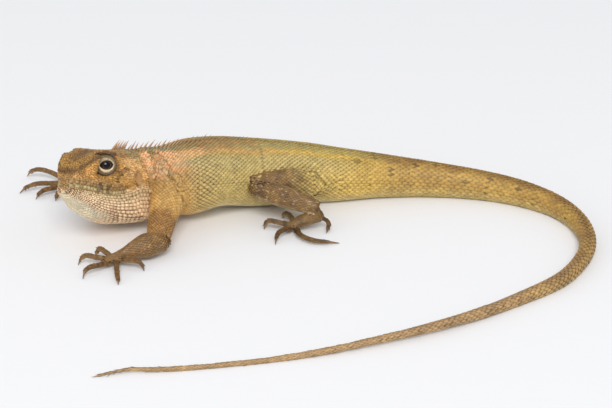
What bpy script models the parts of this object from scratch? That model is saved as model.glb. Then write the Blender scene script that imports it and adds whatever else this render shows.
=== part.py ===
"""Oriental garden lizard (Calotes versicolor), a still life-size model.

The animal stands low on a level floor at Z = 0, its head turned to its left, the belly and
the root of the tail on the floor and the long tail swept round in front of it. The body lies
along X with the head towards -X, and the animal's left side faces -Y. The origin is the
floor point under the hips. Sizes below are millimetres and degrees; the meshes are metres.
"""
import math
import random

import bmesh
import bpy
import numpy as np

MM = 0.001
GAP = 0.3            # left between neighbouring pieces
FLOOR = 0.0

# Head: the tip of the snout, the way the head points, and lengths back from the tip
SNOUT_TIP = (-75.6, -44.0, 25.3)
HEAD_YAW = 58.0      # turned from -X towards -Y
HEAD_PITCH = 21.0    # raised
HEAD_ROLL = 8.0      # crown leaning to the animal's right
HEAD_LENGTH = 33.0
SNOUT_ROUND = 3.2    # length over which the snout rounds off

# Profiles of the head, each a few pairs of (distance behind the snout tip, value)
CROWN = [(0, 3.1), (3, 6.1), (6.5, 8.4), (10, 9.9), (14, 10.5), (18, 10.9), (24, 11.3), (33, 11.9)]
BROW_WIDTH = [(0, 2.7), (3, 4.7), (6.5, 6.1), (10, 6.7), (14, 6.8), (18, 6.6), (24, 6.3), (33, 6.0)]
BROW_HEIGHT = [(0, 2.9), (3, 5.9), (6.5, 8.4), (10, 10.0), (14, 10.8), (18, 10.5), (24, 9.9), (33, 10.0)]
CHEEK_WIDTH = [(0, 3.3), (3, 4.6), (6.5, 5.8), (10, 6.9), (14, 7.9), (18, 8.8), (24, 9.6), (33, 10.0)]
CHEEK_HEIGHT = [(0, 1.0), (6.5, 1.7), (14, 2.7), (24, 2.7), (33, 2.6)]
JAW_WIDTH = [(0, 3.0), (3, 4.2), (6.5, 5.5), (10, 6.6), (14, 7.7), (18, 8.6), (24, 9.7), (33, 10.4)]
JAW_HEIGHT = [(0, -2.3), (6.5, -3.2), (14, -4.2), (24, -4.2), (33, -3.8)]
THROAT_WIDTH = [(0, 2.2), (3, 3.0), (8, 4.8), (13, 6.4), (19, 7.7), (24, 9.4), (30, 10.7), (33, 10.6)]
THROAT_HEIGHT = [(0, -4.0), (3, -4.6), (8, -6.6), (13, -8.6), (19, -9.9), (24, -10.6), (33, -10.8)]
THROAT_DEPTH = [(0, -4.6), (3, -5.2), (8, -7.6), (13, -10.6), (19, -12.5), (24, -13.3), (33, -12.8)]
MOUTH_LINE = [(0, 0.0), (5.5, -0.4), (11, -1.4), (16, -1.9), (20, -1.6), (23.5, -0.8)]
THROAT_LINE = [(0, -6.2), (3, -5.7), (6.5, -5.3), (14, -5.8), (23, -5.6), (33, -4.6)]
MOUTH_CORNER = 23.2

# Eyes, ears and nostrils, as (back, to the side, up) from the snout tip
EYE_CENTRE = (14.6, 5.4, 6.3)
EYE_RADIUS = 3.0
EYE_FORWARD = 45.0   # degrees that the eye looks ahead of straight sideways
ORBIT_RADIUS = 4.4   # the hollow that the lids sit in
ORBIT_PROUD = 4.2    # its centre, outward from the eye's
LID_RADIUS = 3.75
LID_PROUD = 0.1      # the lids' centre, outward from the eye's
LID_OPENING = 2.3
LID_CLOSED = 0.83    # the opening's height as a share of its width
BROW_RIDGE = [(5.5, 7.2), (9, 8.9), (13, 10.0), (17, 10.0), (20.5, 9.4)]
BROW_SPAN = (5.5, 20.5)
BROW_RADIUS = 0.9
BROW_SINK = 0.35     # the ridge's middle below the skin
EAR_CENTRE = (28.6, 9.7, 2.4)
EAR_RADIUS = 1.9
EAR_DEPTH = 1.3
EARDRUM_RADIUS = 1.15
EARDRUM_THICK = 0.6
EAR_SPINES = [(21.6, 4.8), (18.9, 3.4)]
EAR_SPINE_LENGTH = 1.5
EAR_SPINE_RADIUS = 0.45
NOSTRIL = (2.8, 4.1, 5.2)
NOSTRIL_RADIUS = 0.5
NOSTRIL_RIM = 0.85
LIP_START = 1.6      # behind the snout tip
LIP_END = 21.7
LIP_RADIUS = 0.7
LIP_SINK = 0.3       # the lip's middle below the skin
RIDGE_STEP = 1.9
RIDGE_END = 0.35     # thickness at a ridge's ends, as a share of its middle's

# Trunk and tail: stations of (x, y, height of the axis, half width, reach up, reach down)
NECK = [(-50.0, -16.4, 14.4, 9.4, 9.7, 11.2)]
TRUNK = [(-39.0, -14.2, 14.8, 12.0, 12.0, 12.8),
         (-29.0, -9.0, 13.6, 12.0, 12.3, 10.6),
         (-17.2, -3.6, 11.8, 11.2, 11.5, 11.4),
         (0.0, 0.0, 10.4, 9.9, 10.0, 10.9),
         (12.0, 1.6, 9.1, 8.7, 8.9, 9.6)]
TAIL = [(27.7, 4.2, 7.4, 7.0, 7.2, 7.8),
        (45.1, 4.4, 5.9, 5.6, 5.8, 6.2),
        (62.3, 1.6, 4.9, 4.7, 4.8, 5.2),
        (75.6, -4.2, 4.3, 4.1, 4.2, 4.5),
        (86.5, -13.3, 3.6, 3.5, 3.6, 3.8),
        (92.6, -25.0, 3.1, 3.0, 3.1, 3.3),
        (94.1, -39.0, 2.7, 2.65, 2.75, 2.9),
        (90.6, -52.5, 2.4, 2.4, 2.4, 2.6),
        (82.0, -67.0, 2.1, 2.15, 2.15, 2.3),
        (67.9, -79.6, 1.9, 1.8, 1.8, 2.0),
        (53.1, -91.0, 2.1, 1.45, 1.45, 1.45),
        (37.4, -100.7, 2.4, 1.2, 1.2, 1.2),
        (22.3, -107.3, 2.0, 1.0, 1.0, 1.0),
        (7.5, -112.5, 1.3, 0.87, 0.87, 0.87),
        (-8.0, -116.7, 0.75, 0.78, 0.78, 0.85),
        (-26.0, -120.5, 0.65, 0.68, 0.68, 0.75),
        (-41.0, -122.9, 1.0, 0.6, 0.6, 0.6),
        (-48.5, -123.6, 1.4, 0.5, 0.5, 0.5),
        (-54.0, -124.6, 0.8, 0.4, 0.4, 0.4),
        (-58.0, -125.7, 0.35, 0.3, 0.3, 0.4)]
NECK_END = 17.5      # along the spine, from the back of the head
TORSO_END = 82.0
TAIL_ENDS = (116.0, 152.0, 180.0, 208.0, 250.0, 305.0)
SHOULDER = ("neck", "torso")   # the lengths of the body that the legs are cut clear of
HIP = ("torso", "tail_1")
BODY_POWER = 2.25    # over 2 squares the body's section off a little
NECK_START = 0.95    # the neck's first section at the nape, as a share of the head's rear
NECK_WAIST = 0.12    # how much less that share is under the throat
NECK_GAP = 0.5       # growth of the neck's slanting sections that leaves a gap beside it
HEAD_SIDES = 34
BODY_SIDES = ((7, 28), (4, 20), (2, 14), (0, 10))   # sides of a section wider than a radius
ARM_SIDES = 14
SOLE_SIDES = 12
DIGIT_SIDES = 6
DIGIT_RINGS = 8
RING_STEP = 4.0
SOLE_STEP = 1.8
TAIL_POINT = 0.8     # the tip past the last station
DOME = (0.85, 0.5)   # sections of a limb's rounded end, as shares of its radius

# Crest: low spines down the middle of the nape and back
CREST_HEIGHTS = [(-9.5, 2.4), (-8.2, 3.7), (-5.5, 3.4), (-2, 2.6), (8, 2.4), (18, 2.1), (26, 1.7), (40, 1.1),
                 (58, 0.7)]
CREST_STEP = 1.65
CREST_SPANS = {"head": (-8.2, -1.4), "neck": (1.5, NECK_END - 0.8), "torso": (NECK_END + 1.3, 56.0)}
CREST_LEAN = 30.0    # degrees back from upright
SPINE_ROOT = 0.8     # sunk below the skin
SPINE_SIDES = 5
SPINE_TIP = 0.16     # radius at a spine's tip, as a share of its root's
SPINE_FLAT = 0.55    # a spine's thickness across the body, as a share of its width

# Legs: stations of (x, y, z, half width, half height)
ARM_LEFT = [(-42.4, -20.0, 13.6, 6.6, 6.6), (-44.4, -31.5, 10.2, 5.0, 5.0), (-45.8, -43.4, 6.2, 3.9, 3.7)]
FOREARM_LEFT = [(-45.4, -45.2, 5.2, 3.8, 3.6), (-49.3, -47.4, 4.7, 4.2, 3.9), (-53.2, -49.3, 4.1, 3.2, 2.9),
                (-56.5, -50.8, 3.5, 2.1, 1.8)]
PALM_LEFT = [(-55.8, -50.2, 3.8, 1.9, 1.6), (-58.5, -51.8, 2.9, 2.5, 1.4), (-61.4, -53.0, 2.1, 2.3, 1.2)]
ARM_RIGHT = [(-42.0, -8.0, 14.5, 5.4, 5.4), (-47.5, 3.0, 11.5, 4.3, 4.3), (-53.0, 8.5, 8.0, 3.9, 3.7)]
FOREARM_RIGHT = [(-52.0, 8.4, 7.6, 3.7, 3.5), (-59.0, 9.0, 6.0, 3.6, 3.3), (-68.0, 9.4, 4.8, 2.6, 2.4),
                 (-76.0, 9.4, 3.8, 2.0, 1.8)]
PALM_RIGHT = [(-75.2, 9.4, 3.8, 1.9, 1.6), (-79.0, 9.2, 2.9, 2.5, 1.4), (-83.0, 9.0, 2.1, 2.3, 1.2)]
THIGH_LEFT = [(6.5, -4.6, 9.6, 5.4, 5.8), (0.0, -10.2, 11.0, 5.2, 5.2), (-7.6, -13.2, 12.0, 4.3, 4.2),
              (-14.8, -15.6, 12.4, 3.3, 3.3)]
SHIN_LEFT = [(-14.6, -17.2, 11.6, 3.1, 3.1), (-9.0, -19.8, 11.0, 3.6, 3.6), (-2.8, -22.4, 9.9, 3.4, 3.4),
             (4.2, -24.0, 8.0, 2.6, 2.6)]
SOLE_LEFT = [(6.0, -25.0, 5.2, 2.4, 2.4), (2.8, -25.4, 4.2, 2.4, 2.3), (-0.6, -26.2, 3.2, 2.3, 1.9),
             (-3.6, -27.4, 2.2, 2.0, 1.3)]

# Digits: the joints of each toe from its root to the start of the claw, then the claw's tip
TOE_RADIUS = 0.78
CLAW_RADIUS = 0.48
CLAW_TIP = 0.2
FLOOR_BLOCK = (400.0, 400.0, 20.0)
FINGERS_LEFT = [
    [(-60.0, -51.5, 2.2), (-63.3, -48.6, 3.4), (-64.6, -47.6, 3.6), (-65.6, -47.2, 2.2), (-66.0, -46.6, 0.1)],
    [(-60.5, -52.6, 2.0), (-65.0, -52.2, 2.7), (-68.5, -52.0, 3.2), (-70.2, -52.0, 2.1), (-71.2, -52.6, 0.1)],
    [(-60.5, -53.6, 1.9), (-63.8, -57.2, 2.4), (-66.6, -59.5, 2.7), (-68.0, -60.8, 1.9), (-68.6, -63.0, 0.1)],
    [(-59.0, -52.6, 2.0), (-58.2, -58.5, 2.6), (-57.6, -63.0, 1.9), (-57.2, -65.0, 1.2), (-57.0, -67.0, 0.1)],
    [(-59.0, -52.6, 2.2), (-55.0, -54.6, 2.9), (-51.8, -55.6, 2.9), (-50.2, -56.2, 1.7), (-49.6, -57.0, 0.1)]]
FINGERS_RIGHT = [
    [(-81.5, 10.5, 2.1), (-87.5, 16.0, 3.0), (-92.5, 18.0, 3.6), (-95.8, 18.8, 2.4), (-97.4, 19.6, 0.1)],
    [(-82.0, 9.4, 2.0), (-87.5, 8.2, 2.5), (-92.0, 7.0, 2.8), (-95.8, 5.8, 1.9), (-98.0, 4.5, 0.1)],
    [(-82.0, 8.4, 2.0), (-86.0, 4.4, 2.4), (-88.8, 2.2, 2.5), (-90.7, 1.0, 1.5), (-91.6, -0.5, 0.1)],
    [(-81.0, 7.8, 2.0), (-82.8, 3.0, 2.5), (-83.8, 0.6, 2.2), (-84.3, -0.8, 1.4), (-84.6, -1.9, 0.1)],
    [(-80.0, 10.2, 2.2), (-79.5, 14.0, 2.8), (-79.9, 16.6, 2.4), (-80.4, 18.0, 1.3), (-80.6, 19.2, 0.1)]]
TOES_LEFT = [
    [(-1.5, -25.6, 2.4), (-3.6, -20.6, 3.2), (-4.8, -18.2, 2.8), (-5.6, -17.0, 1.6), (-6.0, -16.0, 0.1)],
    [(-2.4, -26.6, 2.2), (-7.2, -25.8, 3.0), (-10.2, -24.8, 3.1), (-11.5, -24.6, 1.9), (-12.0, -25.2, 0.1)],
    [(-2.4, -27.6, 2.0), (-5.2, -31.0, 2.7), (-7.0, -33.2, 2.6), (-7.8, -35.4, 1.7), (-8.0, -37.4, 0.1)],
    [(-1.4, -27.6, 1.9), (0.4, -33.8, 1.9), (4.5, -36.8, 1.5), (9.0, -37.3, 1.2), (13.2, -36.4, 0.3)],
    [(4.0, -24.8, 3.8), (7.8, -24.2, 3.6), (9.4, -26.0, 2.9), (9.3, -27.4, 1.6), (8.8, -28.4, 0.1)]]

# Colour and roughness of the nodes whose names start so; the limbs' are the last
LOOKS = {"head": ((0.40, 0.26, 0.11), 0.7), "lower_jaw": ((0.52, 0.38, 0.22), 0.7),
         "throat": ((0.68, 0.52, 0.40), 0.7), "neck": ((0.42, 0.30, 0.14), 0.7),
         "torso": ((0.42, 0.33, 0.14), 0.7), "tail": ((0.50, 0.34, 0.13), 0.7),
         "eye": ((0.02, 0.015, 0.01), 0.1), "ear": ((0.55, 0.32, 0.12), 0.6),
         "": ((0.30, 0.20, 0.11), 0.7)}
SHARP_ANGLE = 40.0


def dress(piece):
    """Gives a piece a Principled material of its own and smooth shading with sharp creases."""
    colour, roughness = next(look for start, look in LOOKS.items() if piece.name.startswith(start))
    made = bpy.data.materials.new(piece.name)
    made.use_nodes = True
    shader = made.node_tree.nodes["Principled BSDF"]
    shader.inputs["Base Color"].default_value = (*colour, 1.0)
    shader.inputs["Roughness"].default_value = roughness
    piece.data.materials.clear()
    piece.data.materials.append(made)
    piece.data.shade_smooth()
    piece.data.set_sharp_from_angle(angle=math.radians(SHARP_ANGLE))


def unit(vector):
    return vector / np.linalg.norm(vector)


def profile(knots, at):
    """The value of a smooth curve through (distance, value) knots."""
    return float(Curve(knots).at(at)[0])


class Curve:
    """A smooth curve through rows of values, read by the first column."""

    def __init__(self, knots):
        table = np.array(knots, float)
        self.t = table[:, 0]
        self.rows = table[:, 1:]
        slopes = np.empty_like(self.rows)
        slopes[1:-1] = (self.rows[2:] - self.rows[:-2]) / (self.t[2:] - self.t[:-2])[:, None]
        slopes[0] = (self.rows[1] - self.rows[0]) / (self.t[1] - self.t[0])
        slopes[-1] = (self.rows[-1] - self.rows[-2]) / (self.t[-1] - self.t[-2])
        self.slopes = slopes

    def at(self, t):
        i = int(np.clip(np.searchsorted(self.t, t) - 1, 0, len(self.t) - 2))
        h = self.t[i + 1] - self.t[i]
        u = (t - self.t[i]) / h
        if u < 0:
            return self.rows[i] + self.slopes[i] * (t - self.t[i])
        if u > 1:
            return self.rows[i + 1] + self.slopes[i + 1] * (t - self.t[i + 1])
        return (self.rows[i] * (1 + 2 * u) * (1 - u) ** 2 + self.slopes[i] * h * u * (1 - u) ** 2
                + self.rows[i + 1] * u * u * (3 - 2 * u) + self.slopes[i + 1] * h * u * u * (u - 1))


class Sweep:
    """A tapering form along a smooth line through stations of place and section sizes."""

    def __init__(self, stations, reference=(0, 0, 1)):
        rows = np.array(stations, float)
        steps = np.linalg.norm(np.diff(rows[:, :3], axis=0), axis=1)
        distance = np.concatenate([[0.0], np.cumsum(steps)])
        self.curve = Curve(np.column_stack([distance, rows]))
        self.length = distance[-1]
        self.reference = np.array(reference, float)

    def frame(self, s):
        """Centre, direction to the animal's left, direction up and the section's sizes."""
        row = self.curve.at(s)
        ahead = unit(self.curve.at(s + 0.2)[:3] - self.curve.at(s - 0.2)[:3])
        left = unit(np.cross(ahead, self.reference))
        up = np.cross(left, ahead)
        return row[:3], left, up, row[3:]

    def section(self, s, sides, power):
        """An ellipse of unlike upper and lower halves, squared off by power, as (left, up) pairs."""
        sizes = self.frame(s)[3]
        wide, high, low = sizes[0], sizes[1], sizes[-1]
        points = []
        for k in range(sides):
            angle = 2 * math.pi * (k + 0.5) / sides
            x = math.copysign(abs(math.cos(angle)) ** (2 / power), math.cos(angle))
            y = math.copysign(abs(math.sin(angle)) ** (2 / power), math.sin(angle))
            points.append(np.array([x * wide, y * (high if y > 0 else low)]))
        return points

    def ring(self, s, sides, power=2.0, grow=0.0, scale=1.0, shift=0.0):
        """One section set in its place, grown outward all round and moved along the line."""
        centre, left, up, _ = self.frame(s)
        centre = centre + shift * np.cross(up, left)
        outline = [p * scale * (1 + grow / np.linalg.norm(p)) for p in self.section(s, sides, power)]
        return [centre + left * x + up * y for x, y in outline]


class Spine(Sweep):
    """The line of neck, trunk and tail, whose sections turn from the head's to its own."""

    def __init__(self, head, lead, own):
        super().__init__(lead + own)
        self.head = head
        self.start = self.curve.t[len(lead) - 1]
        self.turned = self.curve.t[len(lead) + len(NECK)]
        rear = np.array(head.section(HEAD_LENGTH, HEAD_SIDES)) - [0.0, head.middle]
        angles = np.arctan2(rear[:, 1], rear[:, 0])
        order = np.argsort(angles)
        self.rear_angles = angles[order]
        share = NECK_START - NECK_WAIST * (1 - np.sin(self.rear_angles)) / 2
        self.rear_radii = np.linalg.norm(rear, axis=1)[order] * share

    def turn(self, s):
        """How far the section at s has turned from the head's to the trunk's, 0 to 1."""
        share = float(np.clip((s - self.start) / (self.turned - self.start), 0, 1))
        return share * share * (3 - 2 * share)

    def frame(self, s):
        if s >= self.turned:
            return super().frame(s)
        _, left, up, _ = super().frame(self.turned)
        row = self.curve.at(s)
        share = self.turn(s)
        left = unit(self.head.left * (1 - share) + left * share)
        up = self.head.up * (1 - share) + up * share
        up = unit(up - left * np.dot(up, left))
        return row[:3], left, up, row[3:]

    def section(self, s, sides, power):
        share = self.turn(s)
        points = super().section(s, sides, power)
        if share == 1.0:
            return points
        blended = []
        for p in points:
            radius = np.interp(math.atan2(p[1], p[0]), self.rear_angles, self.rear_radii, period=2 * math.pi)
            blended.append(p * share + unit(p) * radius * (1 - share))
        return blended


def mesh_object(name, rings, collection, tip_start=None, tip_end=None):
    """Skins rings of points into one closed object; an end is a flat face or meets in a tip."""
    work = bmesh.new()
    loops = [[work.verts.new([c * MM for c in point]) for point in ring] for ring in rings]
    count = len(rings[0])
    for first, second in zip(loops, loops[1:]):
        for k in range(count):
            n = (k + 1) % count
            work.faces.new((first[k], first[n], second[n], second[k]))
    for loop, tip in ((loops[0], tip_start), (loops[-1], tip_end)):
        if tip is None:
            work.faces.new(loop)
            continue
        point = work.verts.new([c * MM for c in tip])
        for k in range(count):
            work.faces.new((loop[k], loop[(k + 1) % count], point))
    bmesh.ops.recalc_face_normals(work, faces=work.faces)
    return finish_mesh(name, work, collection)


def finish_mesh(name, work, collection):
    mesh = bpy.data.meshes.new(name)
    work.to_mesh(mesh)
    work.free()
    made = bpy.data.objects.new(name, mesh)
    collection.objects.link(made)
    return made


def rest_on_floor(rings):
    """Flattens what would reach below the floor."""
    return [[np.array([p[0], p[1], max(p[2], FLOOR)]) for p in ring] for ring in rings]


def capsule(name, sweep, sides, collection, grow=0.0, step=3.0):
    """A limb length: a sweep with domed ends."""
    count = max(2, round(sweep.length / step))
    stations = [(sweep.length * k / count, 1.0, 0.0) for k in range(count + 1)]
    tips = []
    for place, sign in ((0.0, -1), (sweep.length, 1)):
        centre, left, up, sizes = sweep.frame(place)
        radius = sizes[0] + grow
        tips.append(centre + np.cross(up, left) * radius * sign)
        for part in DOME:
            shift = radius * math.sqrt(1 - part * part) * sign
            stations.insert(0 if sign < 0 else len(stations), (place, part, shift))
    rings = [sweep.ring(s, sides, 2.0, grow, scale, shift) for s, scale, shift in stations]
    return mesh_object(name, rings, collection, *tips)


def apply_boolean(target, others, operation, solver="EXACT"):
    """Joins or cuts a piece with others, keeps its largest closed body and removes the others."""
    group = bpy.data.collections.new("tools")
    for other in others:
        group.objects.link(other)
    step = target.modifiers.new(operation.lower(), "BOOLEAN")
    step.operation = operation
    step.operand_type = "COLLECTION"
    step.collection = group
    step.solver = solver
    bpy.context.view_layer.update()
    graph = bpy.context.evaluated_depsgraph_get()
    mesh = bpy.data.meshes.new_from_object(target.evaluated_get(graph))
    target.modifiers.clear()
    old = target.data
    target.data = mesh
    mesh.name = old.name
    bpy.data.meshes.remove(old)
    bpy.data.collections.remove(group)
    for other in others:
        bpy.data.objects.remove(other)
    keep_largest(target)


def keep_largest(target):
    """Drops every closed surface but the one with the most volume."""
    work = bmesh.new()
    work.from_mesh(target.data)
    bmesh.ops.remove_doubles(work, verts=work.verts, dist=1e-8)
    left = set(work.faces)
    bodies = []
    while left:
        grown = {left.pop()}
        edge = set(grown)
        while edge:
            edge = {f for e in (e for g in edge for e in g.edges) for f in e.link_faces if f in left}
            left -= edge
            grown |= edge
        volume = 0.0
        for face in grown:
            a = face.verts[0].co
            for b, c in zip(face.verts[1:], face.verts[2:]):
                volume += a.dot(b.co.cross(c.co)) / 6
        bodies.append((volume, grown))
    largest = max(bodies, key=lambda body: body[0])[1]
    loose = [f for f in work.faces if f not in largest]
    bmesh.ops.delete(work, geom=loose, context="FACES")
    work.to_mesh(target.data)
    work.free()


class Head:
    """The head's own axes: back from the snout tip, to the animal's left, and up."""

    def __init__(self):
        yaw, pitch, roll = (math.radians(v) for v in (HEAD_YAW, HEAD_PITCH, HEAD_ROLL))
        self.tip = np.array(SNOUT_TIP, float)
        level = np.array([-math.cos(yaw), -math.sin(yaw), 0.0])
        forward = level * math.cos(pitch) + np.array([0.0, 0.0, math.sin(pitch)])
        left = np.array([math.sin(yaw), -math.cos(yaw), 0.0])
        up = np.cross(forward, left)
        self.back = -forward
        self.left = left * math.cos(roll) + up * math.sin(roll)
        self.up = up * math.cos(roll) - left * math.sin(roll)
        self.middle = (profile(CROWN, HEAD_LENGTH) + profile(THROAT_DEPTH, HEAD_LENGTH)) / 2

    def point(self, back, left, up):
        return self.tip + self.back * back + self.left * left + self.up * up

    def section(self, back, count):
        """The outline of the head and throat across the head's axis, count points."""
        half = [(0.0, profile(CROWN, back)),
                (profile(BROW_WIDTH, back), profile(BROW_HEIGHT, back)),
                (profile(CHEEK_WIDTH, back), profile(CHEEK_HEIGHT, back)),
                (profile(JAW_WIDTH, back), profile(JAW_HEIGHT, back)),
                (profile(THROAT_WIDTH, back), profile(THROAT_HEIGHT, back)),
                (0.0, profile(THROAT_DEPTH, back))]
        keys = half + [(-a, c) for a, c in half[-2:0:-1]]
        loop = keys[-2:] + keys + keys[:3]
        curve = Curve([(k - 2, *key) for k, key in enumerate(loop)])
        outline = [curve.at(len(keys) * k / count) for k in range(count)]
        tip_height = profile(MOUTH_LINE, 0)
        near = min(back / SNOUT_ROUND, 1.0)
        close = math.sqrt(1 - (1 - near) ** 2)
        return [(a * close, tip_height + (c - tip_height) * close) for a, c in outline]

    def ring(self, back, count):
        return [self.point(back, a, c) for a, c in self.section(back, count)]

    def side(self, back, height):
        """How far the skin is from the middle plane at a height, above the jaw's widest."""
        outline = [(a, c) for a, c in self.section(back, 120) if a >= 0]
        outline.sort(key=lambda point: point[1])
        return float(np.interp(height, [c for _, c in outline], [a for a, _ in outline]))


def prism(name, outline, head, collection, half_width=16.0):
    """A cutter: an outline in the head's side view, drawn out to both sides."""
    rings = [[head.point(b, side, c) for b, c in outline] for side in (half_width, -half_width)]
    made = mesh_object(name, rings, collection)
    made.hide_render = True
    made.display_type = "WIRE"
    return made


def line_points(knots, start, end, lift):
    """Points of a line in the head's side view, lifted by half the gap."""
    count = 10
    places = [start + (end - start) * k / count for k in range(count + 1)]
    return [(b, profile(knots, b) + lift) for b in places]


def ball(name, centre, radius, collection, segments=16, rings=10, squash=()):
    """A sphere from a primitive, or an ellipsoid squashed along some directions."""
    work = bmesh.new()
    bmesh.ops.create_uvsphere(work, u_segments=segments, v_segments=rings, radius=1.0)
    for v in work.verts:
        p = np.array(v.co) * radius
        for direction, factor in squash:
            p = p + direction * np.dot(p, direction) * (factor - 1)
        v.co = [c * MM for c in np.array(centre) + p]
    return finish_mesh(name, work, collection)


def spike(name, root, direction, length, radius, flat, collection, bend=None):
    """A tapering spine: a cone from a primitive, flattened along one direction and bent back."""
    work = bmesh.new()
    bmesh.ops.create_cone(work, cap_ends=True, segments=SPINE_SIDES, radius1=1.0, radius2=SPINE_TIP, depth=1.0)
    direction = unit(np.array(direction, float))
    flat = unit(flat - direction * np.dot(flat, direction))
    side = np.cross(direction, flat)
    for v in work.verts:
        x, y, z = v.co
        along = z + 0.5
        place = np.array(root) + direction * along * length + side * x * radius + flat * y * radius * SPINE_FLAT
        if bend is not None:
            place = place + bend * along * along * length
        v.co = [c * MM for c in place]
    bmesh.ops.recalc_face_normals(work, faces=work.faces)
    return finish_mesh(name, work, collection)


def build_head(head, collection, tools):
    """The head, lower jaw and throat from one form, parted by thin cuts; returns its nodes."""
    count = 15
    places = [HEAD_LENGTH * (k / count) ** 1.5 for k in range(1, count + 1)]
    rings = [head.ring(b, HEAD_SIDES) for b in [places[0] / 4] + places]
    tip = head.point(0.0, 0.0, 0.0)
    far = 6.0
    top = [(HEAD_LENGTH + far, 40.0), (-far, 40.0)]
    bottom = [(HEAD_LENGTH + far, -40.0), (-far, -40.0)]
    half = GAP / 2

    def whole(name):
        return mesh_object(name, rings, collection, tip_start=tip)

    skull = whole("head")
    above = (line_points(MOUTH_LINE, -far, MOUTH_CORNER + half, half)
             + line_points(THROAT_LINE, MOUTH_CORNER + half, HEAD_LENGTH + far, half))
    apply_boolean(skull, [prism("above", above + top, head, tools)], "INTERSECT")
    jaw = whole("lower_jaw")
    between = (line_points(MOUTH_LINE, -far, MOUTH_CORNER - half, -half)
               + line_points(THROAT_LINE, -far, MOUTH_CORNER - half, half)[::-1])
    apply_boolean(jaw, [prism("between", between, head, tools)], "INTERSECT")
    throat = whole("throat")
    below = line_points(THROAT_LINE, -far, HEAD_LENGTH + far, -half)
    apply_boolean(throat, [prism("below", below + bottom, head, tools)], "INTERSECT")
    return {"head": skull, "lower_jaw": jaw, "throat": throat}


def ridge(name, head, side, heights, start, end, radius, sink, tools, sides=6):
    """A raised fold along the side of the head: a tube half sunk in the skin, thin at its ends."""
    count = round((end - start) / RIDGE_STEP)
    rows = []
    for k in range(count + 1):
        back = start + (end - start) * k / count
        height = profile(heights, back)
        thick = radius * (RIDGE_END + (1 - RIDGE_END) * math.sin(math.pi * k / count) ** 0.5)
        rows.append((*head.point(back, side * (head.side(back, height) - sink), height), thick, thick))
    return capsule(name, Sweep(rows, head.up), sides, tools, step=RIDGE_STEP)


def add_lips(head, pieces, tools):
    """A lip along each jaw's edge, a little clear of the line of the mouth."""
    for name, lift in (("head", LIP_RADIUS + GAP / 2), ("lower_jaw", -LIP_RADIUS - GAP / 2)):
        heights = [(b, c + lift) for b, c in MOUTH_LINE]
        lips = [ridge("lip", head, side, heights, LIP_START, LIP_END, LIP_RADIUS, LIP_SINK, tools)
                for side in (1, -1)]
        apply_boolean(pieces[name], lips, "UNION")


def ear_spines(head, side, tools):
    """The two groups of small spines above an ear."""
    made = []
    for back, height in EAR_SPINES:
        root = head.point(back, side * (head.side(back, height) - SPINE_ROOT), height)
        for step in (-1, 0, 1):
            lean = head.back * (0.6 + 0.25 * step) + head.up * (0.5 - 0.2 * step)
            made.append(spike("ear_spine", root + head.back * 0.6 * step, head.left * side * 0.55 + lean,
                              EAR_SPINE_LENGTH + SPINE_ROOT, EAR_SPINE_RADIUS, head.left, tools))
    return made


def add_face(head, pieces, collection, tools):
    """Lids, sockets, brows, nostrils and ear cups, with the eyes and eardrums as nodes."""
    orbits, raised, sunk = [], [], []
    for side, word in ((1, "left"), (-1, "right")):
        back, out, up = EYE_CENTRE
        centre = head.point(back, side * out, up)
        ahead = math.radians(EYE_FORWARD)
        look = unit(head.left * side * math.cos(ahead) - head.back * math.sin(ahead) + head.up * 0.05)
        orbits.append(ball("orbit", centre + look * ORBIT_PROUD, ORBIT_RADIUS, tools))
        raised.append(ball("lid", centre + look * LID_PROUD, LID_RADIUS, tools, 18, 10))
        raised.append(ridge("brow", head, side, BROW_RIDGE, *BROW_SPAN, BROW_RADIUS, BROW_SINK, tools))
        sunk.append(ball("socket", centre, EYE_RADIUS + GAP, tools))
        sunk.append(ball("opening", centre + look * EYE_RADIUS, LID_OPENING, tools, 16, 8,
                         squash=[(head.up, LID_CLOSED)]))
        ball("eye_" + word, centre, EYE_RADIUS, collection)
        back, out, up = EAR_CENTRE
        ear = head.point(back, side * out, up)
        outward = unit(head.left * side + head.back * 0.1)
        sunk.append(ball("ear_cup", ear, EAR_RADIUS, tools, 14, 8,
                         squash=[(outward, EAR_DEPTH / EAR_RADIUS)]))
        drum = ear - outward * (EAR_DEPTH - GAP - EARDRUM_THICK / 2)
        ball("ear_" + word, drum, EARDRUM_RADIUS, collection, 12, 6,
             squash=[(outward, EARDRUM_THICK / 2 / EARDRUM_RADIUS)])
        back, out, up = NOSTRIL
        nostril = head.point(back, side * out, up)
        raised.append(ball("nostril_rim", nostril - outward * 0.4, NOSTRIL_RIM, tools, 10, 6))
        sunk.append(ball("nostril", nostril + outward * 0.2, NOSTRIL_RADIUS, tools, 8, 6,
                         squash=[(outward, 1.8)]))
        raised += ear_spines(head, side, tools)
    apply_boolean(pieces["head"], orbits, "DIFFERENCE")
    apply_boolean(pieces["head"], raised, "UNION")
    apply_boolean(pieces["head"], sunk, "DIFFERENCE")


def spine_line(head):
    """The line of the neck, trunk and tail, starting a gap behind the head."""
    sizes = NECK[0][3:]
    lead = [(*head.point(HEAD_LENGTH + GAP - step, 0, head.middle), *sizes) for step in (RING_STEP * 2, 0.0)]
    return Spine(head, lead, NECK + TRUNK + TAIL)


def body_sides(radius):
    """Sides of a section, fewer on the thin tail."""
    return next(sides for least, sides in BODY_SIDES if radius > least)


def body_lengths(spine):
    """Each length of neck, trunk and tail with where it starts and ends along the spine."""
    ends = (0.0, NECK_END, TORSO_END) + TAIL_ENDS + (spine.length - spine.start,)
    names = ["neck", "torso"] + [f"tail_{k + 1}" for k in range(len(TAIL_ENDS) + 1)]
    starts = [0.0] + [end + GAP for end in ends[1:-1]]
    return {name: (spine.start + start, spine.start + end) for name, start, end in zip(names, starts, ends[1:])}


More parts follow.
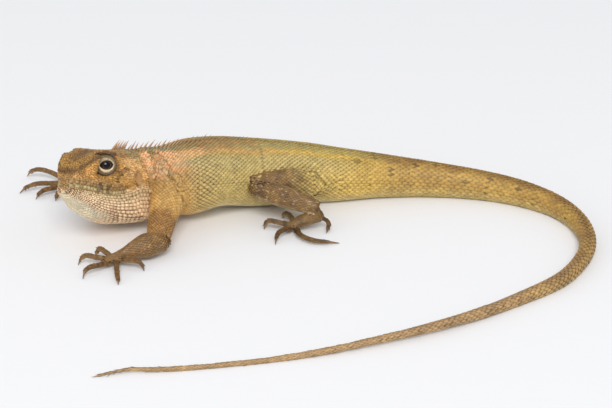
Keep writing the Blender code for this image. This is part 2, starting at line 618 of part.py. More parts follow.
def body_rings(spine, start, end, grow=0.0):
    """The sections of one length; a grown one also reaches past both ends."""
    radius = spine.frame(start)[3][0]
    step = RING_STEP if radius > 2 else RING_STEP * 1.5
    count = max(3, round((end - start) / step))
    places = [start + (end - start) * k / count for k in range(count + 1)]
    if grow:
        places = [start - 2 * grow] + places + [end + 2 * grow]
    return [spine.ring(s, body_sides(radius), BODY_POWER, grow) for s in places]


def build_body(collection, spine):
    """Neck, torso and tail, lofted along the spine in lengths a gap apart."""
    pieces = {}
    for name, (start, end) in body_lengths(spine).items():
        tip = spine.frame(spine.length + TAIL_POINT)[0] if end == spine.length else None
        rings = rest_on_floor(body_rings(spine, start, end))
        pieces[name] = mesh_object(name, rings, collection, tip_end=tip)
    return pieces


def grown_body(spine, names, tools):
    """Lengths of the body a gap larger all round, to cut what grows from them."""
    made = []
    for name in names:
        start, end = body_lengths(spine)[name]
        grow = NECK_GAP if name == "neck" else GAP
        made.append(mesh_object("grown_body", body_rings(spine, start, end, grow), tools))
    return made


def build_limb(names, stations, digits, trunk, spine, collection, tools):
    """Two lengths of a leg and its foot, each cut clear of the piece it grows from."""
    upper_name, lower_name, foot_name = names
    upper_line, lower_line, foot_line = (Sweep(rows, (0.1, 0.2, 1.0)) for rows in stations)
    upper = capsule(upper_name, upper_line, ARM_SIDES, collection)
    apply_boolean(upper, grown_body(spine, trunk, tools), "DIFFERENCE")
    lower = capsule(lower_name, lower_line, ARM_SIDES, collection)
    apply_boolean(lower, [capsule("cut", upper_line, ARM_SIDES, tools, GAP)], "DIFFERENCE")
    foot = capsule(foot_name, foot_line, SOLE_SIDES, collection, step=SOLE_STEP)
    apply_boolean(foot, [make_digit(k, joints, tools) for k, joints in enumerate(digits)], "UNION")
    apply_boolean(foot, [capsule("cut", lower_line, ARM_SIDES, tools, GAP), floor_block(tools)], "DIFFERENCE")


def make_digit(number, joints, tools):
    """A toe with its claw: one sweep that swells at the knuckle and ends in a point."""
    radii = [TOE_RADIUS * 1.15, TOE_RADIUS, TOE_RADIUS * 0.95, CLAW_RADIUS * 1.1]
    rows = [(*joint, r, r) for joint, r in zip(joints[:-1], radii)]
    rows.append((*joints[-1], CLAW_TIP, CLAW_TIP))
    line = Sweep(rows, (0.3, 0.2, 1.0))
    rings = [line.ring(line.length * k / DIGIT_RINGS, DIGIT_SIDES) for k in range(DIGIT_RINGS + 1)]
    return mesh_object(f"digit_{number}", rings, tools)


def floor_block(tools):
    """A block under the floor, to leave flats on what rests on it."""
    work = bmesh.new()
    bmesh.ops.create_cube(work, size=1.0)
    wide, wide, deep = FLOOR_BLOCK
    for v in work.verts:
        v.co = [v.co[0] * wide * MM, v.co[1] * wide * MM, (v.co[2] - 0.5) * deep * MM]
    return finish_mesh("floor_block", work, tools)


def mirrored(rows, spine):
    """Left stations laid out on the right of the spine, at the same place along it."""
    places = spine.start + np.arange(NECK_END, TORSO_END + 20, 0.5)
    line = np.array([spine.frame(s)[0] for s in places])
    result = []
    for row in rows:
        place = np.array(row[:3], float)
        nearest = int(np.argmin(np.linalg.norm((line - place)[:, :2], axis=1)))
        left = spine.frame(places[nearest])[1]
        level = unit(np.array([left[0], left[1], 0]))
        place = place - 2 * level * np.dot(place - line[nearest], level)
        result.append((*place, *row[3:]))
    return result


def crest_seat(head, spine, place):
    """The root of a crest spine on the skin, with up, back along the body, and across."""
    if place < 0:
        back = HEAD_LENGTH + place
        return head.point(back, 0, profile(CROWN, back)), head.up, head.back, head.left
    s = spine.start + place
    centre, across, up, _ = spine.frame(s)
    reach = max(p[1] for p in spine.section(s, 40, BODY_POWER))
    return centre + up * reach, up, np.cross(up, across), across


def add_crest(spine, head, pieces, tools):
    """Spines down the nape and back, leaning back, each fused to the length it grows from."""
    draw = random.Random(7)
    for name, (start, end) in CREST_SPANS.items():
        spines = []
        place = start
        while place < end:
            height = profile(CREST_HEIGHTS, place) * draw.uniform(0.85, 1.12)
            root, up, along, across = crest_seat(head, spine, place)
            lean = math.radians(CREST_LEAN + draw.uniform(-6, 6))
            direction = up * math.cos(lean) + along * math.sin(lean)
            wide = 0.35 + 0.22 * height
            spines.append(spike("spine", root - direction * SPINE_ROOT, direction, height + SPINE_ROOT, wide,
                                across, tools, bend=along * 0.12))
            place += CREST_STEP * draw.uniform(0.88, 1.12) * (0.8 + 0.08 * height)
        apply_boolean(pieces[name], spines, "UNION")


def main():
    for found in list(bpy.data.objects):
        bpy.data.objects.remove(found)
    lizard = bpy.data.collections.new("oriental_garden_lizard")
    tools = bpy.data.collections.new("cutters")
    for group in (lizard, tools):
        bpy.context.scene.collection.children.link(group)
    head = Head()
    pieces = build_head(head, lizard, tools)
    add_lips(head, pieces, tools)
    add_face(head, pieces, lizard, tools)
    spine = spine_line(head)
    pieces.update(build_body(lizard, spine))
    legs = {"left": (THIGH_LEFT, SHIN_LEFT, SOLE_LEFT)}
    legs["right"] = tuple(mirrored(rows, spine) for rows in legs["left"])
    arms = {"left": (ARM_LEFT, FOREARM_LEFT, PALM_LEFT), "right": (ARM_RIGHT, FOREARM_RIGHT, PALM_RIGHT)}
    fingers = {"left": FINGERS_LEFT, "right": FINGERS_RIGHT}
    toes = {"left": TOES_LEFT, "right": [mirrored(toe, spine) for toe in TOES_LEFT]}
    for side in ("left", "right"):
        names = [f"upper_arm_{side}", f"forearm_{side}", f"hand_{side}"]
        build_limb(names, arms[side], fingers[side], SHOULDER, spine, lizard, tools)
        names = [f"thigh_{side}", f"shin_{side}", f"foot_{side}"]
        build_limb(names, legs[side], toes[side], HIP, spine, lizard, tools)
    add_crest(spine, head, pieces, tools)
    for piece in lizard.objects:
        dress(piece)


main()
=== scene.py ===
"""The looks of the oriental garden lizard: one skin, its scales, crest, lids, eyes and claws.

The skin is made from the same stations as the solids, in millimetres, and lies inside them by
the depth of the scales. Every scale is a small solid plate set on the skin. X runs from the
head to the tail, the animal's left faces -Y, and the head has its own axes: back from the tip
of the snout, to the animal's left, and up.
"""
import math
import random
from collections import namedtuple

import bmesh
import bpy
import numpy as np
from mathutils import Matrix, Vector, kdtree, noise
from mathutils.bvhtree import BVHTree


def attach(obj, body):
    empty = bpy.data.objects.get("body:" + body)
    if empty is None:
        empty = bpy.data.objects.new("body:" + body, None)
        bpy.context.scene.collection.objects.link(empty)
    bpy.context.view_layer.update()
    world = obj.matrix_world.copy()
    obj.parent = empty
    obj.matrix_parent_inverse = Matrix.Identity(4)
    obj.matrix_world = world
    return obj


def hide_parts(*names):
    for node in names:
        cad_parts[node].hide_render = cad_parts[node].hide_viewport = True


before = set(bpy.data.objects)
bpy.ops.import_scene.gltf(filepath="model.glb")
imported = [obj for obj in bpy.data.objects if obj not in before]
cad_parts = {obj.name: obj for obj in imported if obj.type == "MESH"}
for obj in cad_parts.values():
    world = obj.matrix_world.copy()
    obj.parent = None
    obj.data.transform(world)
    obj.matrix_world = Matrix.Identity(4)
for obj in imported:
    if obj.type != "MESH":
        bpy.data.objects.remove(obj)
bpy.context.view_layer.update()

MM = 0.001
SEED = 11

# Camera, worked out from the photo's perspective
CAMERA_TARGET = (2.0, -4.0, 0.0)
CAMERA_DISTANCE = 650.0
CAMERA_HEIGHT = 24.0          # degrees above the floor
SENSOR = 36.0
LENS = 110.9

# The skin and its scales
VOXEL = 0.36                  # cell of the mesh that joins the forms
SKIN_TRIANGLES = 185000
COAT = 0.34                   # skin below the solids' faces, under the scales
COAT_SHARE = 0.14             # the same on thin lengths, as a share of their radius
DIGIT_COAT = 0.08             # the same on the digits
FLOOR_GAP = 0.02              # no scale, claw or spine is lower than this
FLOOR_COAT = 0.7              # share of the coat's depth that the skin keeps above the floor
HEAD_SIDES, BODY_SIDES, LIMB_SIDES, FINE_SIDES = 96, 72, 40, 16   # points round each form
HEAD_RINGS = 64
OUTLINE_POINTS = 120          # round the head's section where it is measured
ROUND_PARTS = (0.97, 0.87, 0.7, 0.45, 0.2)   # widths of the rings that round off a length's ends
KEEP_VOLUME = (0.55, -0.57)   # shares of a round of smoothing, forth and back
FILL_CREASES = (0.5,)
SMOOTH_ROUNDS, FILL_ROUNDS = 8, 26
ROOT_BLEND, KNEE_BLEND, WRIST_BLEND = 7.5, 4.0, 3.0   # reach of the filled creases at a leg's joints

# Head: pose, length and profiles of (distance behind the snout tip, value)
SNOUT_TIP = (-75.6, -44.0, 25.3)
HEAD_YAW, HEAD_PITCH, HEAD_ROLL = 58.0, 21.0, 8.0
HEAD_LENGTH = 33.0
SNOUT_ROUND = 3.2
CROWN = [(0, 3.1), (3, 6.1), (6.5, 8.4), (10, 9.9), (14, 10.5), (18, 10.9), (24, 11.3), (33, 11.9)]
BROW_WIDTH = [(0, 2.7), (3, 4.7), (6.5, 6.1), (10, 6.7), (14, 6.8), (18, 6.6), (24, 6.3), (33, 6.0)]
BROW_HEIGHT = [(0, 2.9), (3, 5.9), (6.5, 8.4), (10, 10.0), (14, 10.8), (18, 10.5), (24, 9.9), (33, 10.0)]
CHEEK_WIDTH = [(0, 3.3), (3, 4.6), (6.5, 5.8), (10, 6.9), (14, 7.9), (18, 8.8), (24, 9.6), (33, 10.0)]
CHEEK_HEIGHT = [(0, 1.0), (6.5, 1.7), (14, 2.7), (24, 2.7), (33, 2.6)]
JAW_WIDTH = [(0, 3.0), (3, 4.2), (6.5, 5.5), (10, 6.6), (14, 7.7), (18, 8.6), (24, 9.7), (33, 10.4)]
JAW_HEIGHT = [(0, -2.3), (6.5, -3.2), (14, -4.2), (24, -4.2), (33, -3.8)]
THROAT_WIDTH = [(0, 2.2), (3, 3.0), (8, 4.8), (13, 6.4), (19, 7.7), (24, 9.4), (30, 10.7), (33, 10.6)]
THROAT_HEIGHT = [(0, -4.0), (3, -4.6), (8, -6.6), (13, -8.6), (19, -9.9), (24, -10.6), (33, -10.8)]
THROAT_DEPTH = [(0, -4.6), (3, -5.2), (8, -7.6), (13, -10.6), (19, -12.5), (24, -13.3), (33, -12.8)]
MOUTH_LINE = [(0, 0.0), (5.5, -0.4), (11, -1.4), (16, -1.9), (20, -1.6), (23.5, -0.8)]
MOUTH_CORNER = 23.2
EYE_CENTRE = (14.6, 5.4, 6.3)
EYE_RADIUS = 3.0
EYE_FORWARD = 45.0            # degrees that the eye looks ahead of straight sideways
SOCKET_FORWARD = 58.0         # the same for the middle of its lids
ORBIT_RADIUS = 4.4            # the hollow that the lids sit in
ORBIT_PROUD = 4.2             # its centre, outward from the eye's
LID_OPEN = 46.0               # degrees from the look to the opening's corners
LID_CLOSE = 0.4               # how much less it is above and below
LID_TILT = math.radians(-7)   # the opening's rear corner is the higher one
LID_ROOT = 99.0
LID_CLEAR = 4.15              # no scales of the head nearer to the lids' middle
BROW_RIDGE = [(5.5, 7.2), (9, 8.9), (13, 10.0), (17, 10.0), (20.5, 9.4)]
EAR_CENTRE = (28.6, 2.4)      # distance behind the snout tip, and height
EAR_RADIUS = 1.9
EAR_SPINES = [(21.6, 4.8), (18.9, 3.4)]
NOSTRIL = (2.8, 5.2)
NOSTRIL_REACH = 0.75
PIT_DEPTH = 0.9               # of ears and nostrils
EYE_SLACK = 0.18              # between the eye and the skin under it
MOUTH_REACH, MOUTH_DEPTH = 0.34, 0.5

# Neck, trunk and tail: (x, y, height of the axis, half width, reach up, reach down)
NECK = [(-50.0, -16.4, 14.4, 9.4, 9.7, 11.2)]
TRUNK = [(-39.0, -14.2, 14.8, 12.0, 12.0, 12.8), (-29.0, -9.0, 13.6, 12.0, 12.3, 10.6),
         (-17.2, -3.6, 11.8, 11.2, 11.5, 11.4), (0.0, 0.0, 10.4, 9.9, 10.0, 10.9),
         (12.0, 1.6, 9.1, 8.7, 8.9, 9.6)]
TAIL = [(27.7, 4.2, 7.4, 7.0, 7.2, 7.8), (45.1, 4.4, 5.9, 5.6, 5.8, 6.2),
        (62.3, 1.6, 4.9, 4.7, 4.8, 5.2), (75.6, -4.2, 4.3, 4.1, 4.2, 4.5),
        (86.5, -13.3, 3.6, 3.5, 3.6, 3.8), (92.6, -25.0, 3.1, 3.0, 3.1, 3.3),
        (94.1, -39.0, 2.7, 2.65, 2.75, 2.9), (90.6, -52.5, 2.4, 2.4, 2.4, 2.6),
        (82.0, -67.0, 2.1, 2.15, 2.15, 2.3), (67.9, -79.6, 1.9, 1.8, 1.8, 2.0),
        (53.1, -91.0, 2.1, 1.45, 1.45, 1.45), (37.4, -100.7, 2.4, 1.2, 1.2, 1.2),
        (22.3, -107.3, 2.0, 1.0, 1.0, 1.0), (7.5, -112.5, 1.3, 0.87, 0.87, 0.87),
        (-8.0, -116.7, 0.75, 0.78, 0.78, 0.85), (-26.0, -120.5, 0.65, 0.68, 0.68, 0.75),
        (-41.0, -122.9, 1.0, 0.6, 0.6, 0.6), (-48.5, -123.6, 1.4, 0.5, 0.5, 0.5),
        (-54.0, -124.6, 0.8, 0.4, 0.4, 0.4), (-58.0, -125.7, 0.35, 0.3, 0.3, 0.4)]
HEAD_REAR = ((0.8, 0.99), (1.5, 0.955), (2.0, 0.9), (2.3, 0.83))   # past the head, share of its section
NECK_INSIDE, NECK_TIP = 5.0, 5.2   # how far the neck's skin and its tip run on into the head
NECK_GAP = 0.3                # between the head and the neck's first section
NECK_START = 0.95             # the neck's first section at the nape, as a share of the head's rear
NECK_WAIST = 0.12             # how much less that share is under the throat
NECK_END, TORSO_END = 17.5, 82.0
BODY_POWER = 2.25             # over 2 squares the body's section off a little
TAIL_POINT = 0.8              # the tip past the last station
CREST_HEIGHTS = [(-7.2, 3.5), (-5.5, 3.3), (-2, 3.0), (8, 2.9), (18, 2.3), (26, 1.7), (40, 1.1), (58, 0.7)]
CREST_LEAST = 0.6             # height of the smallest spines
CREST_SPAN = (-7.2, 180.0)    # along the spine, from the back of the head
CREST_STEP = 1.25
CREST_OVER = 0.45             # height hidden among the scales
CREST_LEAN = 30.0             # degrees back from upright

# Legs: (x, y, z, half width, half height)
ARM_LEFT = [(-42.4, -20.0, 13.6, 6.6, 6.6), (-44.4, -31.5, 10.2, 5.0, 5.0), (-45.8, -43.4, 6.2, 3.9, 3.7)]
FOREARM_LEFT = [(-45.4, -45.2, 5.2, 3.8, 3.6), (-49.3, -47.4, 4.7, 4.2, 3.9), (-53.2, -49.3, 4.1, 3.2, 2.9),
                (-56.5, -50.8, 3.5, 2.1, 1.8)]
PALM_LEFT = [(-55.8, -50.2, 3.8, 1.9, 1.6), (-58.5, -51.8, 2.9, 2.5, 1.4), (-61.4, -53.0, 2.1, 2.3, 1.2)]
ARM_RIGHT = [(-42.0, -8.0, 14.5, 5.4, 5.4), (-47.5, 3.0, 11.5, 4.3, 4.3), (-53.0, 8.5, 8.0, 3.9, 3.7)]
FOREARM_RIGHT = [(-52.0, 8.4, 7.6, 3.7, 3.5), (-59.0, 9.0, 6.0, 3.6, 3.3), (-68.0, 9.4, 4.8, 2.6, 2.4),
                 (-76.0, 9.4, 3.8, 2.0, 1.8)]
PALM_RIGHT = [(-75.2, 9.4, 3.8, 1.9, 1.6), (-79.0, 9.2, 2.9, 2.5, 1.4), (-83.0, 9.0, 2.1, 2.3, 1.2)]
THIGH_LEFT = [(6.5, -4.6, 9.6, 5.4, 5.8), (0.0, -10.2, 11.0, 5.2, 5.2), (-7.6, -13.2, 12.0, 4.3, 4.2),
              (-14.8, -15.6, 12.4, 3.3, 3.3)]
SHIN_LEFT = [(-14.6, -17.2, 11.6, 3.1, 3.1), (-9.0, -19.8, 11.0, 3.6, 3.6), (-2.8, -22.4, 9.9, 3.4, 3.4),
             (4.2, -24.0, 8.0, 2.6, 2.6)]
SOLE_LEFT = [(6.0, -25.0, 5.2, 2.4, 2.4), (2.8, -25.4, 4.2, 2.4, 2.3), (-0.6, -26.2, 3.2, 2.3, 1.9),
             (-3.6, -27.4, 2.2, 2.0, 1.3)]

# Digits: joints from the root to the start of the claw, then the claw's tip
LEG_REFERENCE, DIGIT_REFERENCE = (0.1, 0.2, 1.0), (0.3, 0.2, 1.0)   # roughly up, to set sections by
TOE_RADIUS = 0.78
CLAW_RADIUS = 0.5
FINGERS_LEFT = [
    [(-60.0, -51.5, 2.2), (-63.3, -48.6, 3.4), (-64.6, -47.6, 3.6), (-65.6, -47.2, 2.2), (-66.0, -46.6, 0.1)],
    [(-60.5, -52.6, 2.0), (-65.0, -52.2, 2.7), (-68.5, -52.0, 3.2), (-70.2, -52.0, 2.1), (-71.2, -52.6, 0.1)],
    [(-60.5, -53.6, 1.9), (-63.8, -57.2, 2.4), (-66.6, -59.5, 2.7), (-68.0, -60.8, 1.9), (-68.6, -63.0, 0.1)],
    [(-59.0, -52.6, 2.0), (-58.2, -58.5, 2.6), (-57.6, -63.0, 1.9), (-57.2, -65.0, 1.2), (-57.0, -67.0, 0.1)],
    [(-59.0, -52.6, 2.2), (-55.0, -54.6, 2.9), (-51.8, -55.6, 2.9), (-50.2, -56.2, 1.7), (-49.6, -57.0, 0.1)]]
FINGERS_RIGHT = [
    [(-81.5, 10.5, 2.1), (-87.5, 16.0, 3.0), (-92.5, 18.0, 3.6), (-95.8, 18.8, 2.4), (-97.4, 19.6, 0.1)],
    [(-82.0, 9.4, 2.0), (-87.5, 8.2, 2.5), (-92.0, 7.0, 2.8), (-95.8, 5.8, 1.9), (-98.0, 4.5, 0.1)],
    [(-82.0, 8.4, 2.0), (-86.0, 4.4, 2.4), (-88.8, 2.2, 2.5), (-90.7, 1.0, 1.5), (-91.6, -0.5, 0.1)],
    [(-81.0, 7.8, 2.0), (-82.8, 3.0, 2.5), (-83.8, 0.6, 2.2), (-84.3, -0.8, 1.4), (-84.6, -1.9, 0.1)],
    [(-80.0, 10.2, 2.2), (-79.5, 14.0, 2.8), (-79.9, 16.6, 2.4), (-80.4, 18.0, 1.3), (-80.6, 19.2, 0.1)]]
TOES_LEFT = [
    [(-1.5, -25.6, 2.4), (-3.6, -20.6, 3.2), (-4.8, -18.2, 2.8), (-5.6, -17.0, 1.6), (-6.0, -16.0, 0.1)],
    [(-2.4, -26.6, 2.2), (-7.2, -25.8, 3.0), (-10.2, -24.8, 3.1), (-11.5, -24.6, 1.9), (-12.0, -25.2, 0.1)],
    [(-2.4, -27.6, 2.0), (-5.2, -31.0, 2.7), (-7.0, -33.2, 2.6), (-7.8, -35.4, 1.7), (-8.0, -37.4, 0.1)],
    [(-1.4, -27.6, 1.9), (0.4, -33.8, 1.9), (4.5, -36.8, 1.5), (9.0, -37.3, 1.2), (13.2, -36.4, 0.3)],
    [(4.0, -24.8, 3.8), (7.8, -24.2, 3.6), (9.4, -26.0, 2.9), (9.3, -27.4, 1.6), (8.8, -28.4, 0.1)]]


def srgb(red, green, blue):
    """A display colour of 0 to 255 as linear values."""
    values = np.array([red, green, blue]) / 255.0
    return np.where(values > 0.04045, ((values + 0.055) / 1.055) ** 2.4, values / 12.92)


INK = srgb(38, 28, 20)
BACK = srgb(149, 120, 68)
BACK_RED = srgb(166, 104, 66)
OLIVE = srgb(166, 145, 76)
TEAL = srgb(128, 142, 112)
STRIPE = srgb(190, 150, 87)
FLANK = srgb(164, 137, 69)
FLANK_SPOT = srgb(206, 183, 117)
FLANK_EDGE = srgb(112, 92, 48)
YELLOW = srgb(207, 170, 76)
BELLY = srgb(207, 187, 133)
SHOULDER = srgb(188, 147, 83)
NECK_PINK = srgb(218, 162, 116)
CHEEK = srgb(188, 139, 69)
LOREAL = srgb(210, 156, 84)
SNOUT = srgb(182, 137, 69)
DARK_LINE = srgb(74, 50, 32)
HEAD_TOP = srgb(166, 127, 76)
TEMPLE = srgb(219, 172, 110)
LABIAL = srgb(184, 150, 98)
LABIAL_LOW = srgb(201, 186, 134)
THROAT = srgb(255, 224, 180)
THROAT_FRONT = srgb(238, 224, 191)
THROAT_EDGE = srgb(118, 66, 38)
LEG = srgb(136, 102, 53)
LEG_DARK = srgb(91, 65, 37)
LEG_PALE = srgb(200, 172, 128)
ARM_TAN = srgb(182, 130, 66)
TAIL_GOLD = srgb(179, 142, 67)
TAIL_PALE = srgb(185, 165, 105)
TAIL_BROWN = srgb(135, 99, 47)
TAIL_END = srgb(177, 144, 106)
CREST_ROOT = srgb(140, 110, 72)
CREST_END = srgb(222, 176, 142)
CLAW = srgb(166, 122, 76)
CLAW_TIP = srgb(56, 38, 26)

# Markings on neck, trunk and tail: (along the spine, rise in degrees, reach along, reach in rise,
# colour, strength)
PATCHES = [(11.0, 80, 7.0, 5, TEAL, 0.75), (11.5, 67, 3.4, 6, NECK_PINK, 0.95),
           (4.0, 60, 4.0, 9, NECK_PINK, 0.5), (14.5, 42, 5.0, 4, TEAL, 0.35),
           (21.0, 43, 6.0, 7, TEAL * 0.9, 0.4), (31.0, 33, 8.0, 9, TEAL * 0.8, 0.4),
           (20.0, 60, 5.0, 7, NECK_PINK, 0.6), (66.5, 0, 5.0, 22, YELLOW * 1.1, 0.85),
           (77.0, 0, 9.0, 28, YELLOW * 1.05, 0.6), (60.0, 40, 8.0, 10, OLIVE * 0.7, 0.5)]
TAIL_SPOTS = [(79.5, 52, 1.0), (92.0, 32, 1.0), (108.0, 75, 0.9), (119.0, 27, 1.0), (128.0, 45, 0.9),
              (101.0, 60, 0.9), (139.0, 30, 0.8), (86.0, 75, 0.9)]
CANTHUS = [(2.0, 4.6), (5.0, 7.1), (8.4, 9.2), (12.7, 10.4), (17.0, 10.2)]
# Painted shadows that the spines over each ear cast on the temple: (distance behind the snout tip, height,
# reach)
SPINE_SHADOW_SPOTS = [(22.0, 5.1, 1.1), (19.5, 3.9, 0.9), (18.8, 3.1, 0.8), (17.8, 1.7, 0.8)]


def mix(first, second, share):
    """A colour between two, the second at a share of 1."""
    share = min(max(float(share), 0.0), 1.0)
    return first * (1 - share) + second * share


def step(low, high, value):
    """0 below low, 1 above high, smooth between; either way round."""
    share = min(max((value - low) / (high - low), 0.0), 1.0)
    return share * share * (3 - 2 * share)


def blotch(place, size, seed=0.0):
    """Smooth noise of about -1 to 1 with patches of a size in millimetres."""
    return noise.noise(Vector((place[0] / size + seed, place[1] / size + seed * 1.7, place[2] / size - seed)))


def unit(vector):
    return vector / max(np.linalg.norm(vector), 1e-9)


def flattened(vector, normal):
    """The direction of a vector once laid flat across a normal."""
    return unit(vector - normal * np.dot(vector, normal))


class Curve:
    """A smooth curve through rows of values, read by the first column."""

    def __init__(self, knots):
        table = np.array(knots, float)
        self.t, self.rows = table[:, 0], table[:, 1:]
        self.slopes = np.empty_like(self.rows)
        self.slopes[1:-1] = (self.rows[2:] - self.rows[:-2]) / (self.t[2:] - self.t[:-2])[:, None]
        self.slopes[0] = (self.rows[1] - self.rows[0]) / (self.t[1] - self.t[0])
        self.slopes[-1] = (self.rows[-1] - self.rows[-2]) / (self.t[-1] - self.t[-2])

    def at(self, t):
        i = int(np.clip(np.searchsorted(self.t, t) - 1, 0, len(self.t) - 2))
        h = self.t[i + 1] - self.t[i]
        u = (t - self.t[i]) / h
        if u < 0:
            return self.rows[i] + self.slopes[i] * (t - self.t[i])
        if u > 1:
            return self.rows[i + 1] + self.slopes[i + 1] * (t - self.t[i + 1])
        return (self.rows[i] * (1 + 2 * u) * (1 - u) ** 2 + self.slopes[i] * h * u * (1 - u) ** 2
                + self.rows[i + 1] * u * u * (3 - 2 * u) + self.slopes[i + 1] * h * u * u * (u - 1))


CURVES = {}


def profile(knots, at):
    """The value of a smooth curve through (distance, value) knots."""
    key = id(knots)
    if key not in CURVES:
        CURVES[key] = (Curve(knots), knots)
    return float(CURVES[key][0].at(at)[0])


class Sweep:
    """A tapering form along a smooth line through stations of place and section sizes."""
    power = 2.0

    def __init__(self, stations, reference=(0, 0, 1)):
        rows = np.array(stations, float)
        steps = np.linalg.norm(np.diff(rows[:, :3], axis=0), axis=1)
        self.curve = Curve(np.column_stack([np.concatenate([[0.0], np.cumsum(steps)]), rows]))
        self.length = self.curve.t[-1]
        self.reference = np.array(reference, float)

    def frame(self, s):
        """Centre, direction to the animal's left, direction up and the section's sizes."""
        row = self.curve.at(s)
        ahead = unit(self.curve.at(s + 0.2)[:3] - self.curve.at(s - 0.2)[:3])
        left = unit(np.cross(ahead, self.reference))
        return row[:3], left, np.cross(left, ahead), row[3:]

    def outline(self, s, angles):
        """The section's (left, up) at angles in degrees, 0 to the left and 90 up."""
        sizes = self.frame(s)[3]
        turn = np.radians(angles)
        c, k = np.cos(turn), np.sin(turn)
        x = np.sign(c) * np.abs(c) ** (2 / self.power) * sizes[0]
        y = np.sign(k) * np.abs(k) ** (2 / self.power) * np.where(k > 0, sizes[1], sizes[-1])
        return np.column_stack([x, y])

    def ring(self, s, sides, grow=0.0, scale=1.0, shift=0.0):
        centre, left, up, _ = self.frame(s)
        centre = centre + shift * np.cross(up, left)
        points = self.outline(s, np.arange(sides) * 360.0 / sides)
        reach = np.linalg.norm(points, axis=1, keepdims=True)
        points = points * scale * (1 + grow / reach)
        return centre + np.outer(points[:, 0], left) + np.outer(points[:, 1], up)


class Head:
    """The head's own axes: back from the snout tip, to the animal's left, and up."""

    def __init__(self):
        yaw, pitch, roll = (math.radians(v) for v in (HEAD_YAW, HEAD_PITCH, HEAD_ROLL))
        self.tip = np.array(SNOUT_TIP, float)
        level = np.array([-math.cos(yaw), -math.sin(yaw), 0.0])
        forward = level * math.cos(pitch) + np.array([0.0, 0.0, math.sin(pitch)])
        left = np.array([math.sin(yaw), -math.cos(yaw), 0.0])
        up = np.cross(forward, left)
        self.back = -forward
        self.left = left * math.cos(roll) + up * math.sin(roll)
        self.up = up * math.cos(roll) - left * math.sin(roll)
        self.middle = (profile(CROWN, HEAD_LENGTH) + profile(THROAT_DEPTH, HEAD_LENGTH)) / 2

    def point(self, back, left, up):
        return self.tip + self.back * back + self.left * left + self.up * up

    def local(self, places):
        offset = np.asarray(places) - self.tip
        return np.stack([offset @ self.back, offset @ self.left, offset @ self.up], axis=-1)

    def section(self, back, count):
        """The outline of the head and throat across the head's axis, from the crown to the left."""
        half = [(0.0, profile(CROWN, back)), (profile(BROW_WIDTH, back), profile(BROW_HEIGHT, back)),
                (profile(CHEEK_WIDTH, back), profile(CHEEK_HEIGHT, back)),
                (profile(JAW_WIDTH, back), profile(JAW_HEIGHT, back)),
                (profile(THROAT_WIDTH, back), profile(THROAT_HEIGHT, back)),
                (0.0, profile(THROAT_DEPTH, back))]
        keys = half + [(-a, c) for a, c in half[-2:0:-1]]
        loop = keys[-2:] + keys + keys[:3]
        curve = Curve([(k - 2, *key) for k, key in enumerate(loop)])
        outline = np.array([curve.at(len(keys) * k / count) for k in range(count)])
        near = min(back / SNOUT_ROUND, 1.0)
        return outline * math.sqrt(1 - (1 - near) ** 2)

    def side(self, back, height):
        """How far the skin is from the middle plane at a height."""
        outline = self.section(back, OUTLINE_POINTS)
        half = outline[outline[:, 0] >= 0]
        half = half[np.argsort(half[:, 1])]
        return float(np.interp(height, half[:, 1], half[:, 0]))

    def flank(self, side, back, height, depth=0.0):
        """A point on the head's left (1) or right (-1) side, or under it by a depth."""
        return self.point(back, side * (self.side(back, height) - depth), height)

    def eye(self, side, forward=EYE_FORWARD):
        """The eye's centre and the way that it looks, or that its lids face."""
        ahead = math.radians(forward)
        look = self.left * side * math.cos(ahead) - self.back * math.sin(ahead) + self.up * 0.05
        return self.point(EYE_CENTRE[0], side * EYE_CENTRE[1], EYE_CENTRE[2]), unit(look)


class Spine(Sweep):
    """The line of neck, trunk and tail, whose sections turn from the head's to its own."""
    power = BODY_POWER

    def __init__(self, head):
        sizes = NECK[0][3:]
        lead = [(*head.point(HEAD_LENGTH + NECK_GAP - back, 0, head.middle), *sizes) for back in (8.0, 0.0)]
        super().__init__(lead + NECK + TRUNK + TAIL)
        self.head = head
        self.start = self.curve.t[1]
        self.turned = self.curve.t[2 + len(NECK)]
        rear = head.section(HEAD_LENGTH, OUTLINE_POINTS) - [0.0, head.middle]
        angles = np.arctan2(rear[:, 1], rear[:, 0])
        order = np.argsort(angles)
        self.rear_angles = angles[order]
        share = NECK_START - NECK_WAIST * (1 - np.sin(self.rear_angles)) / 2
        self.rear_radii = np.linalg.norm(rear, axis=1)[order] * share

    def turn(self, s):
        """0 where the section is the head's, 1 where it is the spine's own."""
        return step(self.start, self.turned, s)

    def frame(self, s):
        if s >= self.turned:
            return super().frame(s)
        _, left, up, _ = super().frame(self.turned)
        row = self.curve.at(s)
        share = self.turn(s)
        left = unit(self.head.left * (1 - share) + left * share)
        up = self.head.up * (1 - share) + up * share
        up = flattened(up, left)
        return row[:3], left, up, row[3:]

    def outline(self, s, angles):
        share = self.turn(s)
        points = super().outline(s, angles)
        if share == 1.0:
            return points
        turn = np.arctan2(points[:, 1], points[:, 0])
        radii = np.interp(turn, self.rear_angles, self.rear_radii, period=2 * math.pi)
        reach = np.linalg.norm(points, axis=1)
        return points * (share + (1 - share) * radii / reach)[:, None]


head = Head()
spine = Spine(head)


def mirrored(rows):
    """Left stations laid out on the right of the spine, at the same place along it."""
    places = spine.start + np.arange(NECK_END, TORSO_END + 20, 0.5)
    line = np.array([spine.frame(s)[0] for s in places])
    result = []
    for row in rows:
        place = np.array(row[:3], float)
        nearest = int(np.argmin(np.linalg.norm((line - place)[:, :2], axis=1)))
        left = spine.frame(places[nearest])[1]
        level = unit(np.array([left[0], left[1], 0]))
        place = place - 2 * level * np.dot(place - line[nearest], level)
        result.append((*place, *row[3:]))
    return result


